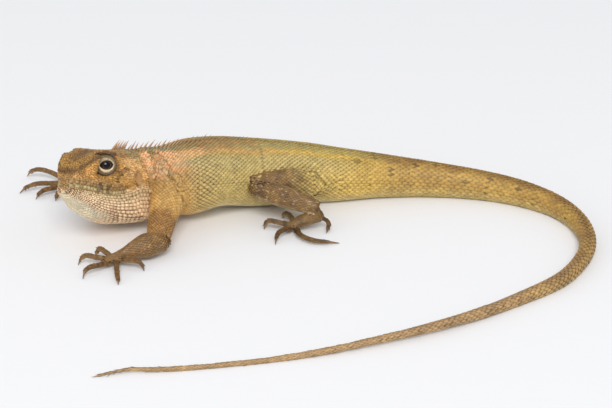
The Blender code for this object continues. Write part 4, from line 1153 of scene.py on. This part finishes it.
def row_colours(kind, b, local, place):
    """Edge and middle colours of one plate of a row."""
    edge, middle = head_colours(local, place)
    if kind == "upper_lip":
        middle = mix(middle, LABIAL, 0.5 * step(22, 13, b)) * 0.78
    elif kind == "lower_lip":
        middle = mix(middle, LABIAL_LOW * 0.8, 0.8 * step(24, 18, b))
    elif kind == "brow":
        return edge * 0.9, mix(middle, DARK_LINE, 0.35)
    for bar in LIP_BARS:
        middle = mix(middle, INK * 2.2, 0.6 * step(1.1, 0.6, abs(b - bar)))
    return middle * 0.45, middle


def cover_lips():
    """Rows of plates along the mouth and the brow."""
    for order, (kind, knots, lift, start, end, span, tall, height) in enumerate(HEAD_ROWS):
        brow = kind == "brow"
        for side in (1, -1):
            b = start
            while b < end:
                length = span * draw.uniform(0.82, 1.18)
                found = on_head(b + length / 2, profile(knots, b + length / 2) + lift, side)
                if found is not None:
                    place, normal = found
                    ahead = head.back + head.up * (profile(knots, b + length) - profile(knots, b)) / length
                    ahead = flattened(ahead, normal)
                    pair = row_colours(kind, b + length / 2, head.local(place), place)
                    edge, middle = shade_pair(*pair, 0.28)
                    uv = atlas("head", 0.02 + 0.3 * b / 24, 0.1 + 0.05 * order + (0.5 if side < 0 else 0))
                    coat.add("head", "bordered" if brow else "block", place - ahead * length / 2, normal,
                             ahead, tall * draw.uniform(0.48, 0.55), length * (1.35 if brow else 1.06),
                             height * draw.uniform(0.85, 1.15), edge, middle, uv)
                    coat.mark(place)
                b += length


def bare_spots():
    """Places on the head where no scale is set: the lids, the eardrums and the nostrils."""
    spots = []
    for side in (1, -1):
        spots.append((head.eye(side)[0] - head.back * 0.5, LID_CLEAR))
        for place, reach in ((EAR_CENTRE, EAR_RADIUS + 0.5), (NOSTRIL, NOSTRIL_REACH * 0.8)):
            spots.append((head.flank(side, *place), reach))
    return spots


bare = bare_spots()


def is_bare(place):
    return any(np.linalg.norm(place - spot) < reach for spot, reach in bare)


def head_scale(b, c):
    """Width of the head's plates: fine on the snout, larger on the cheek and temple."""
    cheek = step(profile(BROW_HEIGHT, max(b, 0)) - 1.0, profile(BROW_HEIGHT, max(b, 0)) - 2.5, c)
    return (0.5 + 0.25 * step(6, 24, b)) * (1 - cheek) + (0.6 + 0.16 * step(5, 20, b)) * cheek


def cover_head(centres, normals):
    """Small plates of uneven outline all over the top and sides of the head."""
    local = head.local(centres)
    order = []
    for i, (b, a, c) in enumerate(local):
        if -1.0 < b < HEAD_LENGTH + 1.0 and abs(a) < 13 and throat_top(max(b, 0)) - 0.2 < c < 14:
            if not is_bare(centres[i]):
                order.append(i)
    draw.shuffle(order)
    for spacing in (1.0, 0.9, 0.8):
        for i in order:
            b, a, c = local[i]
            place, normal = centres[i], normals[i]
            size = head_scale(b, c)
            if not coat.free(place, size * spacing):
                continue
            edge, middle = shade_pair(*head_colours(local[i], place), 0.14)
            along = head.back + head.left * draw.uniform(-0.25, 0.25) - head.up * draw.uniform(0.0, 0.3)
            along = flattened(along, normal)
            pointed = b > 7 and c < 8.5 and draw.random() < 0.9
            length = size * (2.2 if pointed else 1.3)
            uv = atlas("head", 0.02 + 0.3 * b / 35, 0.5 + 0.5 * math.atan2(a, c + 16) / 1.2)
            coat.add("head", "bordered" if pointed else "plate", place - along * length * 0.5, normal, along,
                     size * 0.53, length, 0.3 * draw.uniform(0.8, 1.2), edge, middle, uv)
            coat.mark(place)


def skin_spread(pitch):
    """Points spread evenly over the skin, about a pitch apart, with the skin's normals there."""
    skin.data.calc_loop_triangles()
    corners = np.array([triangle.vertices for triangle in skin.data.loop_triangles])
    bend = np.array([v.normal for v in skin.data.vertices])
    first, second, third = (skin_points[corners[:, k]] for k in range(3))
    area = np.linalg.norm(np.cross(second - first, third - first), axis=1) / 2
    chance = np.random.default_rng(SEED)
    counts = np.floor(area / pitch ** 2 + chance.random(len(area))).astype(int)
    pick = np.repeat(np.arange(len(area)), counts)
    far, turn = np.sqrt(chance.random(len(pick)))[:, None], chance.random(len(pick))[:, None]
    shares = (1 - far, far * (1 - turn), far * turn)
    places = sum(share * skin_points[corners[pick, k]] for k, share in enumerate(shares))
    normals = sum(share * bend[corners[pick, k]] for k, share in enumerate(shares))
    return places, normals / np.linalg.norm(normals, axis=1, keepdims=True)


def scale_tree():
    """The scales' places, to find the nearest by."""
    tree = kdtree.KDTree(len(coat.scales))
    for k, scale in enumerate(coat.scales):
        tree.insert(Vector(scale.place), k)
    tree.balance()
    return tree


GAP_LEAST = 0.42               # width of the smallest scale that fills a gap


def cover_gaps(centres, normals, share):
    """Small scales wherever the rows leave skin bare, like their nearest neighbours."""
    tree = scale_tree()
    order = list(range(len(centres)))
    draw.shuffle(order)
    for i in order:
        place = centres[i]
        like = coat.scales[tree.find(Vector(place))[1]]
        size = max(like.width * 2 * share, GAP_LEAST)
        if not coat.free(place, size * 0.86) or is_bare(place):
            continue
        normal = normals[i]
        flat = flattened(like.along, normal)
        tone = 1 + draw.uniform(-0.12, 0.12)
        uv = (like.uv[0] + draw.uniform(-0.002, 0.002), like.uv[1] + draw.uniform(-0.002, 0.002))
        coat.add(like.group, "keeled", place - flat * size * 0.35, normal, flat, size * 0.5, size * 1.25,
                 like.height * 0.75, mix(like.edge, like.middle, 0.35) * tone, like.middle * tone, uv,
                 like.bend)
        coat.mark(place)


def build_scales(name, chosen, material):
    """One mesh of many scales, with their colours and their places on the unwrap."""
    points, loops, sizes, colours, uvs = [], [], [], [], []
    base = 0
    for kind, (shape, faces, shades) in TEMPLATES.items():
        rows = [scale for scale in chosen if scale.kind == kind]
        if not rows:
            continue
        shape = np.array(shape)
        held = {field: np.array([getattr(row, field) for row in rows]) for field in Scale._fields[2:]}
        place, out, along = held["place"], held["out"], held["along"]
        width, length, height, bend = (held[key][:, None] for key in ("width", "length", "height", "bend"))
        side = np.cross(along, out)
        x = shape[None, :, 0] * width
        y = shape[None, :, 1] * length
        z = shape[None, :, 2] * height - bend * x * x
        body = (place[:, None] + side[:, None] * x[..., None] + along[:, None] * y[..., None]
                + out[:, None] * z[..., None])
        body[..., 2] = np.maximum(body[..., 2], FLOOR_GAP)
        points.append(body.reshape(-1, 3))
        share = np.array(shades)[None, :, None]
        edge, middle = held["edge"][:, None], held["middle"][:, None]
        colours.append((edge * (1 - share) + middle * share).reshape(-1, 3))
        spot = np.stack([shape[:, 0] * 0.0012, (shape[:, 1] - 0.5) * 0.0026], axis=-1)[None]
        patch = (held["uv"][:, None] + spot).reshape(-1, 2)
        flat = np.concatenate([np.array(face) for face in faces])
        counts = np.array([len(face) for face in faces])
        index = (np.arange(len(rows))[:, None] * len(shape) + flat[None]).ravel()
        uvs.append(patch[index])
        loops.append(index + base)
        sizes.append(np.tile(counts, len(rows)))
        base += len(rows) * len(shape)
    points, loops, sizes = np.concatenate(points), np.concatenate(loops), np.concatenate(sizes)
    mesh = bpy.data.meshes.new(name)
    mesh.vertices.add(len(points))
    mesh.vertices.foreach_set("co", (points * MM).ravel())
    mesh.loops.add(len(loops))
    mesh.loops.foreach_set("vertex_index", loops)
    mesh.polygons.add(len(sizes))
    mesh.polygons.foreach_set("loop_start", np.concatenate([[0], np.cumsum(sizes)[:-1]]))
    mesh.update(calc_edges=True)
    set_tint(mesh, np.concatenate(colours))
    layer = mesh.uv_layers.new(name="OFBake")
    layer.data.foreach_set("uv", np.concatenate(uvs).ravel())
    mesh.shade_smooth()
    mesh.set_sharp_from_angle(angle=math.radians(42))
    mesh.materials.append(material)
    made = link(name, mesh)
    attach(made, "root")
    print(name, len(chosen), "scales", sum(int(n) - 2 for n in sizes), "triangles", flush=True)
    return made


# Materials

def tinted(name, roughness, grain, grain_size, bump, flat=None, coat_gloss=0.0):
    """A skin material: colours held by the mesh, mottled by fine noise, with a fine bump."""
    made = bpy.data.materials.new(name)
    made.use_nodes = True
    nodes, links = made.node_tree.nodes, made.node_tree.links

    def fill(node, values):
        """Sets a node's sockets to values, or links them to other nodes' outputs."""
        for key, value in values.items():
            if isinstance(value, bpy.types.NodeSocket):
                links.new(value, node.inputs[key])
            else:
                node.inputs[key].default_value = value
        return node.outputs

    def add(kind, values):
        return fill(nodes.new("ShaderNode" + kind), values)

    place = add("TexCoord", {})["Object"]
    speckle = add("TexNoise", {"Scale": 1000.0 / grain_size, "Detail": 3.0, "Vector": place})["Fac"]
    tone = add("MapRange", {"From Min": 0.3, "From Max": 0.7, "To Min": 1.0 - grain, "To Max": 1.0 + grain,
                            "Value": speckle})["Result"]
    if flat is None:
        source = nodes.new("ShaderNodeVertexColor")
        source.layer_name = "Tint"
        colour = source.outputs["Color"]
    else:
        colour = tuple(flat)
    scale = nodes.new("ShaderNodeVectorMath")
    scale.operation = "SCALE"
    gloss = add("MapRange", {"To Min": roughness - 0.08, "To Max": roughness + 0.12, "Value": speckle})
    fine = add("TexNoise", {"Scale": 5200.0, "Vector": place})["Fac"]
    lift = add("Bump", {"Strength": bump, "Distance": 0.00006, "Height": fine})
    fill(nodes["Principled BSDF"], {
        "Base Color": fill(scale, {0: colour, "Scale": tone})["Vector"], "Roughness": gloss["Result"],
        "Normal": lift["Normal"], "Coat Weight": coat_gloss, "Coat Roughness": 0.06})
    return made


def skin_colours():
    """The skin's own markings, as its scales have them, darkened as painted shade where it shows between
    them.
    """
    tree = scale_tree()
    near = [coat.scales[tree.find(Vector(p))[1]] for p in skin_points]
    return np.array([scale.edge * 0.5 + scale.middle * 0.25 for scale in near])


# Eyes, lids, ears, crest and claws

def oval(centre, first, second, wide, tall, sides):
    """A ring of points that reaches wide along one direction and tall along another."""
    turn = np.arange(sides) * 2 * math.pi / sides
    return centre + np.outer(np.cos(turn) * wide, first) + np.outer(np.sin(turn) * tall, second)


def revolve(centre, axis, rows, sides):
    """Rings round an axis from rows of (distance along, radius)."""
    side = unit(np.cross(axis, head.up))
    top = np.cross(side, axis)
    return [oval(centre + axis * along, side, top, radius, radius, sides) for along, radius in rows]


def solid(name, rings, materials, bands=(0,), tips=None):
    """Rings as a closed object; bands gives each band's material, and then the two tips'."""
    forms = Forms()
    forms.add(rings, *(tips or (rings[0].mean(axis=0), rings[-1].mean(axis=0))))
    made = closed_piece(name, np.array(forms.points), forms.faces, materials)
    for k, polygon in enumerate(made.data.polygons):
        polygon.material_index = bands[min(k // len(rings[0]), len(bands) - 1)]
    return made


def eye_material(name, colour, roughness=0.08):
    """A wet, faintly mottled material without a strong shine of its own."""
    made = tinted(name, roughness + 0.08, 0.35, 0.5, 0.0, flat=colour, coat_gloss=0.35)
    made.node_tree.nodes["Principled BSDF"].inputs["Specular IOR Level"].default_value = 0.1
    return made


# Rings of the eye, in degrees from its look, and where the pupil, its ring and the iris end
EYE_TURNS = [4, 9, 14, 19, 22.5, 24, 26, 30, 35, 40, 45, 50, 56, 64, 76, 90, 110, 135, 160, 175]
EYE_ZONES = (22, 25, 48)
EYE_SIDES = 48


def build_eyes():
    """Each eye: a dark round pupil with a brown ring, a dark mottled iris and dark sides."""
    matters = [eye_material("pupil", srgb(5, 4, 4), 0.02), eye_material("iris_ring", srgb(74, 52, 32)),
               eye_material("iris", srgb(42, 28, 19)), eye_material("eye_rim", srgb(34, 24, 17))]
    bands = [int(np.searchsorted(EYE_ZONES, turn, side="right")) for turn in EYE_TURNS[:-1]] + [0, 3]
    rows = []
    for turn in EYE_TURNS:
        radius = EYE_RADIUS - 0.03 + 0.12 * math.exp(-(turn / 34.0) ** 2)
        rows.append((radius * math.cos(math.radians(turn)), radius * math.sin(math.radians(turn))))
    for side, word in ((1, "left"), (-1, "right")):
        centre, look = head.eye(side)
        tips = (centre + look * (EYE_RADIUS + 0.09), centre - look * EYE_RADIUS)
        made = solid("eyeball_" + word, revolve(centre, look, rows, EYE_SIDES), matters, bands, tips)
        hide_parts("eye_" + word)


# Rows of beads on the lids: (degrees from the look, size)
LID_BEADS = [(50, 0.26), (53.5, 0.3), (57.5, 0.34), (62, 0.38), (66.5, 0.42), (71.5, 0.46), (77, 0.5),
             (83, 0.55), (89.5, 0.6)]
LID_COLUMNS = 72
# Rings of the lids: outside, in degrees past the opening, and then back inside, from the look
LID_TURNS = (0, 1, 2.5, 5, 8, 11, 13, 15, 18, 21, 25, 28, 32, 37, 44, 53)
LID_INSIDE = (LID_ROOT, 75, 55, LID_OPEN)
LID_PALE = srgb(232, 214, 176)
LID_FOLD = srgb(150, 126, 96)
LID_DARK = srgb(46, 33, 24)


def lid_row(turn):
    """Radius of the lids' surface at an angle in degrees from the look: folded in rings."""
    share = (turn - LID_OPEN) / (LID_ROOT - LID_OPEN)
    radius = EYE_RADIUS + 0.07 + 0.24 * min(share / 0.07, 1.0) ** 0.5
    radius = radius + 0.16 * math.sin(math.pi * min(share, 1) * 0.8)
    return radius - 0.07 * math.exp(-((turn - 59) / 2.5) ** 2) - 0.08 * math.exp(-((turn - 72) / 3) ** 2)


def build_lids(material):
    """Lids as one ring round each eye, with an oval opening, and beads in rings on it."""
    for side, word in ((1, "left"), (-1, "right")):
        centre, look = head.eye(side)
        socket = head.eye(side, SOCKET_FORWARD)[1]
        count = LID_COLUMNS

        def spot(turn, spin):
            """A point on the lids; the opening is lower than it is wide, and lies behind their middle."""
            share = step(LID_OPEN, LID_OPEN + 30, turn)
            axis = unit(look * (1 - share) + socket * share)
            across = unit(np.cross(axis, head.up))
            top = np.cross(across, axis)
            close = 1.0 - LID_CLOSE * abs(math.sin(spin)) ** 0.85 * max(0.0, 1 - (turn - LID_OPEN) / 30.0)
            angle = math.radians(turn * close)
            radius = lid_row(turn)
            way = across * math.cos(spin + LID_TILT) + top * math.sin(spin + LID_TILT)
            return centre + axis * math.cos(angle) * radius + way * math.sin(angle) * radius

        rings, tints = [], []
        spins = 2 * math.pi * np.arange(count) / count
        for turn in [LID_OPEN + past for past in LID_TURNS]:
            rings.append(np.array([spot(turn, spin) for spin in spins]))
            tints += [lid_colour(turn, math.sin(spin)) for spin in spins]
        for turn in LID_INSIDE:
            inner = np.array([spot(turn, spin) for spin in spins]) - centre
            inner *= (EYE_RADIUS + 0.05) / np.linalg.norm(inner, axis=1, keepdims=True)
            rings.append(centre + inner)
            # The lids' inside, along the eye, is dark: painted shade of the gap between lids and eye
            tints += [LID_DARK] * count
        points = np.concatenate(rings)
        faces = []
        total = len(rings)
        for r in range(total):
            n = (r + 1) % total
            for k in range(count):
                m = (k + 1) % count
                faces.append((r * count + k, r * count + m, n * count + m, n * count + k))
        made = closed_piece("lids_" + word, points, faces, [material], tints)
        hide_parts("head")
        for turn, size in LID_BEADS:
            radius = lid_row(turn)
            beads = round(2 * math.pi * radius * math.sin(math.radians(turn)) / (size * 1.02))
            for k in range(beads):
                spin = 2 * math.pi * (k + 0.5 * (round(turn) % 2) + draw.uniform(-0.12, 0.12)) / beads
                place = spot(turn, spin)
                out = unit(place - centre)
                way = unit(spot(turn + 1, spin) - place)
                colour = lid_colour(turn, math.sin(spin)) * (1 + draw.uniform(-0.14, 0.14))
                v = (0.3 if side > 0 else 0.6) + 0.2 * k / beads
                uv = atlas("head", 0.33 + 0.02 * (turn - 40) / 50, v)
                coat.add("lids", "bead", place - way * size * 0.5, out, way, size * 0.5, size, 0.16,
                         colour * 0.78, colour * 1.1, uv)


def lid_colour(turn, above):
    """Pale at the opening and less so over it, which is painted shadow of the brow, with grey-brown folds.
    The opening's very rim and two creases of the folds are darker as painted shade, and the dark outer ring
    is dark scales with painted shade of the socket's wall.
    """
    edge = LID_OPEN + 4 + 8 * abs(above)
    # Less pale over the eye: painted shadow of the brow
    pale = mix(LID_PALE, LID_FOLD, 0.55 * step(0.1, 0.6, above))
    # Dark right at the opening's rim: painted shade
    colour = mix(LID_DARK * 0.6, pale, step(LID_OPEN + 0.5, LID_OPEN + 2, turn))
    colour = mix(colour, LID_FOLD, step(edge - 1.5, edge + 2, turn))
    # Dark lines in two creases of the folds: painted shade
    colour = mix(colour, LID_DARK, 0.6 * math.exp(-((turn - edge - 3.5) / 1.8) ** 2))
    colour = mix(colour, LID_DARK, 0.5 * math.exp(-((turn - 71) / 2) ** 2))
    # Dark outer ring: dark scales with painted shade of the socket's wall
    return mix(colour, LID_DARK, step(74, 82, turn))


EAR_TURNS = (6, 16, 28, 40, 54, 68, 82, 90)   # rings of the dome, in degrees from its middle
EAR_SIDES = 36


def build_ears():
    """The eardrums, a little domed, in the ears' pits."""
    drum = tinted("eardrum_membrane", 0.5, 0.18, 1.6, 0.1, flat=srgb(196, 150, 100))
    for side, word in ((1, "left"), (-1, "right")):
        outward = unit(head.left * side + head.back * 0.05 + head.up * 0.12)
        centre = head.flank(side, *EAR_CENTRE, 0.72)
        rows = [(0.18 * (1 - math.cos(math.radians(t))) - 0.1, EAR_RADIUS * 1.12 * math.sin(math.radians(t)))
                for t in EAR_TURNS]
        rows += [(-0.35, EAR_RADIUS * 1.1), (-0.5, EAR_RADIUS * 0.5)]
        made = solid("eardrum_" + word, revolve(centre, outward, rows, EAR_SIDES), [drum])
        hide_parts("ear_" + word)


def blade(root, direction, along, across, length, wide, thick, rounds=6, sides=8, hook=0.22):
    """Rings of a tapering, flattened spine that bends back."""
    rings = []
    for k in range(rounds):
        share = k / rounds
        swell = (1 - share) ** 0.8 * (1 + 0.25 * math.sin(math.pi * share))
        centre = root + direction * length * share + along * hook * length * share * share
        rings.append(oval(centre, along, across, wide * swell, thick * swell, sides))
    return rings, root + direction * length + along * hook * length


def crest_seat(place):
    """The root of a crest spine on the skin, with up, back along the body, and across."""
    if place < 0:
        back = HEAD_LENGTH + place
        return head.point(back, 0, profile(CROWN, back)), head.up, head.back, head.left
    centre, across, up, _ = spine.frame(spine.start + place)
    reach = spine.outline(spine.start + place, np.array([90.0]))[0, 1]
    return centre + up * reach, up, np.cross(up, across), across


def join_forms(name, shapes, material):
    """Many small closed shapes as one mesh, tinted from root to tip."""
    forms = Forms()
    colours = []
    for rings, tip, (root_tint, tip_tint) in shapes:
        forms.add(rings, rings[0].mean(axis=0), tip)
        for k in range(len(rings)):
            colours += [mix(root_tint, tip_tint, k / len(rings))] * len(rings[0])
        colours += [root_tint, tip_tint]
    points = np.array(forms.points)
    points[:, 2] = np.maximum(points[:, 2], FLOOR_GAP)
    closed_piece(name, points, forms.faces, [material], colours)


def build_crest(material):
    """Spines along the nape and back, smaller to the rear, and a few above each ear."""
    shapes = []
    place, end = CREST_SPAN
    while place < end:
        usual = max(profile(CREST_HEIGHTS, min(place, CREST_HEIGHTS[-1][0])), CREST_LEAST)
        height = (usual + CREST_OVER) * draw.uniform(0.75, 1.15)
        root, up, along, across = crest_seat(place)
        lean = math.radians(CREST_LEAN + draw.uniform(-8, 8) + 12 * step(10, 40, place))
        direction = up * math.cos(lean) + along * math.sin(lean)
        wide = 0.3 + 0.1 * height
        rings, tip = blade(root - direction * 0.7, direction, along, across, height + 0.7, wide, wide * 0.5)
        base = mix(CREST_ROOT, BACK * 0.8, step(10, 40, place))
        shapes.append((rings, tip, (base, mix(CREST_END, BACK * 0.9, step(2, 30, place)))))
        place += CREST_STEP * (0.85 + 0.1 * height) * draw.uniform(0.88, 1.12)
    for side in (1, -1):
        for back, height in EAR_SPINES:
            root = head.flank(side, back, height, 0.7)
            for k in (-1, 0, 1):
                lean = head.back * (0.6 + 0.25 * k) + head.up * (0.5 - 0.2 * k)
                direction = unit(head.left * side * 0.55 + lean)
                seat = root + head.back * 0.5 * k
                rings, tip = blade(seat, direction, head.back, head.left * side, 2.1, 0.36, 0.3)
                shapes.append((rings, tip, (SNOUT * 0.7, srgb(170, 120, 76))))
    join_forms("crest", shapes, material)


CLAW_RINGS, CLAW_SIDES = 9, 10


def build_claws(material):
    """A tapering hook on each digit, along the end of its line."""
    shapes = []
    for _, _, digits in legs:
        for sweep in digits:
            start, end = sweep.curve.t[3] - 0.25, sweep.length
            rings = []
            for k in range(CLAW_RINGS):
                share = k / CLAW_RINGS
                centre, left, up, _ = sweep.frame(start + (end - start) * share)
                radius = CLAW_RADIUS * (1 - share) ** 0.75 + 0.03
                rings.append(oval(centre, left, up, radius * 0.78, radius, CLAW_SIDES))
            shapes.append((rings, sweep.frame(end)[0], (CLAW, CLAW_TIP)))
    join_forms("claws", shapes, material)


# Put together

SPREAD_PITCH = 0.3
HEAD_MIDDLE, HEAD_REACH = 16, 26   # the head's skin, behind the snout tip and round there
GAP_SHARES = (0.72, 0.45)      # size of the scales in gaps, of their neighbours', in two passes
SCALE_MARKS = (0.35, 0.7)      # shares of a scale's length that the second pass keeps clear of

cover_lips()
cover_throat()
cover_body()
cover_legs()
spread, spread_normals = skin_spread(SPREAD_PITCH)
head_first = np.linalg.norm(spread - head.point(HEAD_MIDDLE, 0, 0), axis=1) < HEAD_REACH
cover_head(spread[head_first], spread_normals[head_first])
cover_gaps(spread, spread_normals, GAP_SHARES[0])
for scale in coat.scales:
    for share in SCALE_MARKS:
        coat.mark(scale.place + scale.along * scale.length * share)
cover_gaps(spread, spread_normals, GAP_SHARES[1])

scale_matter = tinted("scales", 0.5, 0.2, 1.4, 0.15)
skin_matter = tinted("skin_between", 0.7, 0.3, 1.2, 0.4)
lid_matter = tinted("lid_skin", 0.45, 0.15, 0.6, 0.1)
horn = tinted("claw_horn", 0.3, 0.15, 0.8, 0.05, coat_gloss=0.3)
build_lids(lid_matter)

FLESH = [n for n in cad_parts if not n.startswith(("eye_", "ear_"))]
set_tint(skin.data, skin_colours())
skin.data.vertices.foreach_set("co", (skin_points * MM).ravel())
skin.data.update()
skin.data.shade_smooth()
skin.data.materials.clear()
skin.data.materials.append(skin_matter)
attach(skin, "root")
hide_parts(*FLESH)

SLOTS = {"head": "head_skin", "throat": "throat_skin", "lids": "head_skin", "arms": "limb_skin",
         "legs": "limb_skin", "digits": "limb_skin", "neck": "body_skin", "trunk": "body_skin",
         "tail": "tail_skin"}
NECK_END_X, TAIL_START_X = (float(spine.frame(spine.start + s)[0][0]) for s in (NECK_END, TORSO_END))
TAIL_FRONT_Y = -60.0           # all of the body's scales in front of this are the tail's


def piece_of(scale):
    """The piece that a scale belongs to: its group's, or neck, trunk or tail by its place."""
    if scale.group != "body":
        return scale.group
    if scale.place[0] >= TAIL_START_X or scale.place[1] <= TAIL_FRONT_Y:
        return "tail"
    return "neck" if scale.place[0] < NECK_END_X else "trunk"


for piece, slot in SLOTS.items():
    made = build_scales("scales_" + piece, [s for s in coat.scales if piece_of(s) == piece], scale_matter)
build_eyes()
build_ears()
build_crest(lid_matter)
build_claws(horn)


# Floor, light and camera

# Lights: name, place in metres, power in watts, size
LIGHTS = [("key", (0.16, -2.2, 2.03), 57.0, 1.3), ("fill", (-1.2, -0.7, 0.5), 2.0, 0.9)]
FLOOR_REACH = 4
FLOOR_COLOUR = (0.86, 0.86, 0.87, 1)
SKY_COLOUR, SKY_STRENGTH = (0.97, 0.98, 1.0, 1), 0.64


def build_stage():
    """A pale paper floor, an even sky and two soft lights."""
    corners = [(x * FLOOR_REACH, y * FLOOR_REACH, 0) for x, y in ((-1, -1), (1, -1), (1, 1), (-1, 1))]
    floor = link("floor", mesh_from(corners, [(0, 1, 2, 3)], "floor"))
    made = bpy.data.materials.new("floor_paper")
    made.use_nodes = True
    shader = made.node_tree.nodes["Principled BSDF"]
    shader.inputs["Base Color"].default_value = FLOOR_COLOUR
    shader.inputs["Roughness"].default_value = 0.8
    floor.data.materials.append(made)
    world = bpy.data.worlds.new("studio")
    world.use_nodes = True
    sky = world.node_tree.nodes["Background"]
    sky.inputs["Color"].default_value = SKY_COLOUR
    sky.inputs["Strength"].default_value = SKY_STRENGTH
    bpy.context.scene.world = world
    for name, place, power, size in LIGHTS:
        light = bpy.data.lights.new(name, "AREA")
        light.energy = power
        light.size = size
        lamp = link(name, light)
        lamp.location = place
        lamp.rotation_euler = (Vector((0, 0, 0)) - Vector(place)).to_track_quat("-Z", "Y").to_euler()


def build_camera():
    """The camera, at the photo's angle."""
    camera = bpy.data.cameras.new("camera")
    camera.sensor_width = SENSOR
    camera.lens = LENS
    made = link("camera", camera)
    rise = math.radians(CAMERA_HEIGHT)
    target = np.array(CAMERA_TARGET)
    made.location = (target + CAMERA_DISTANCE * np.array([0, -math.cos(rise), math.sin(rise)])) * MM
    made.rotation_euler = (math.radians(90 - CAMERA_HEIGHT), 0, 0)
    bpy.context.scene.camera = made


build_stage()
build_camera()
bpy.context.scene.view_settings.view_transform = "Standard"
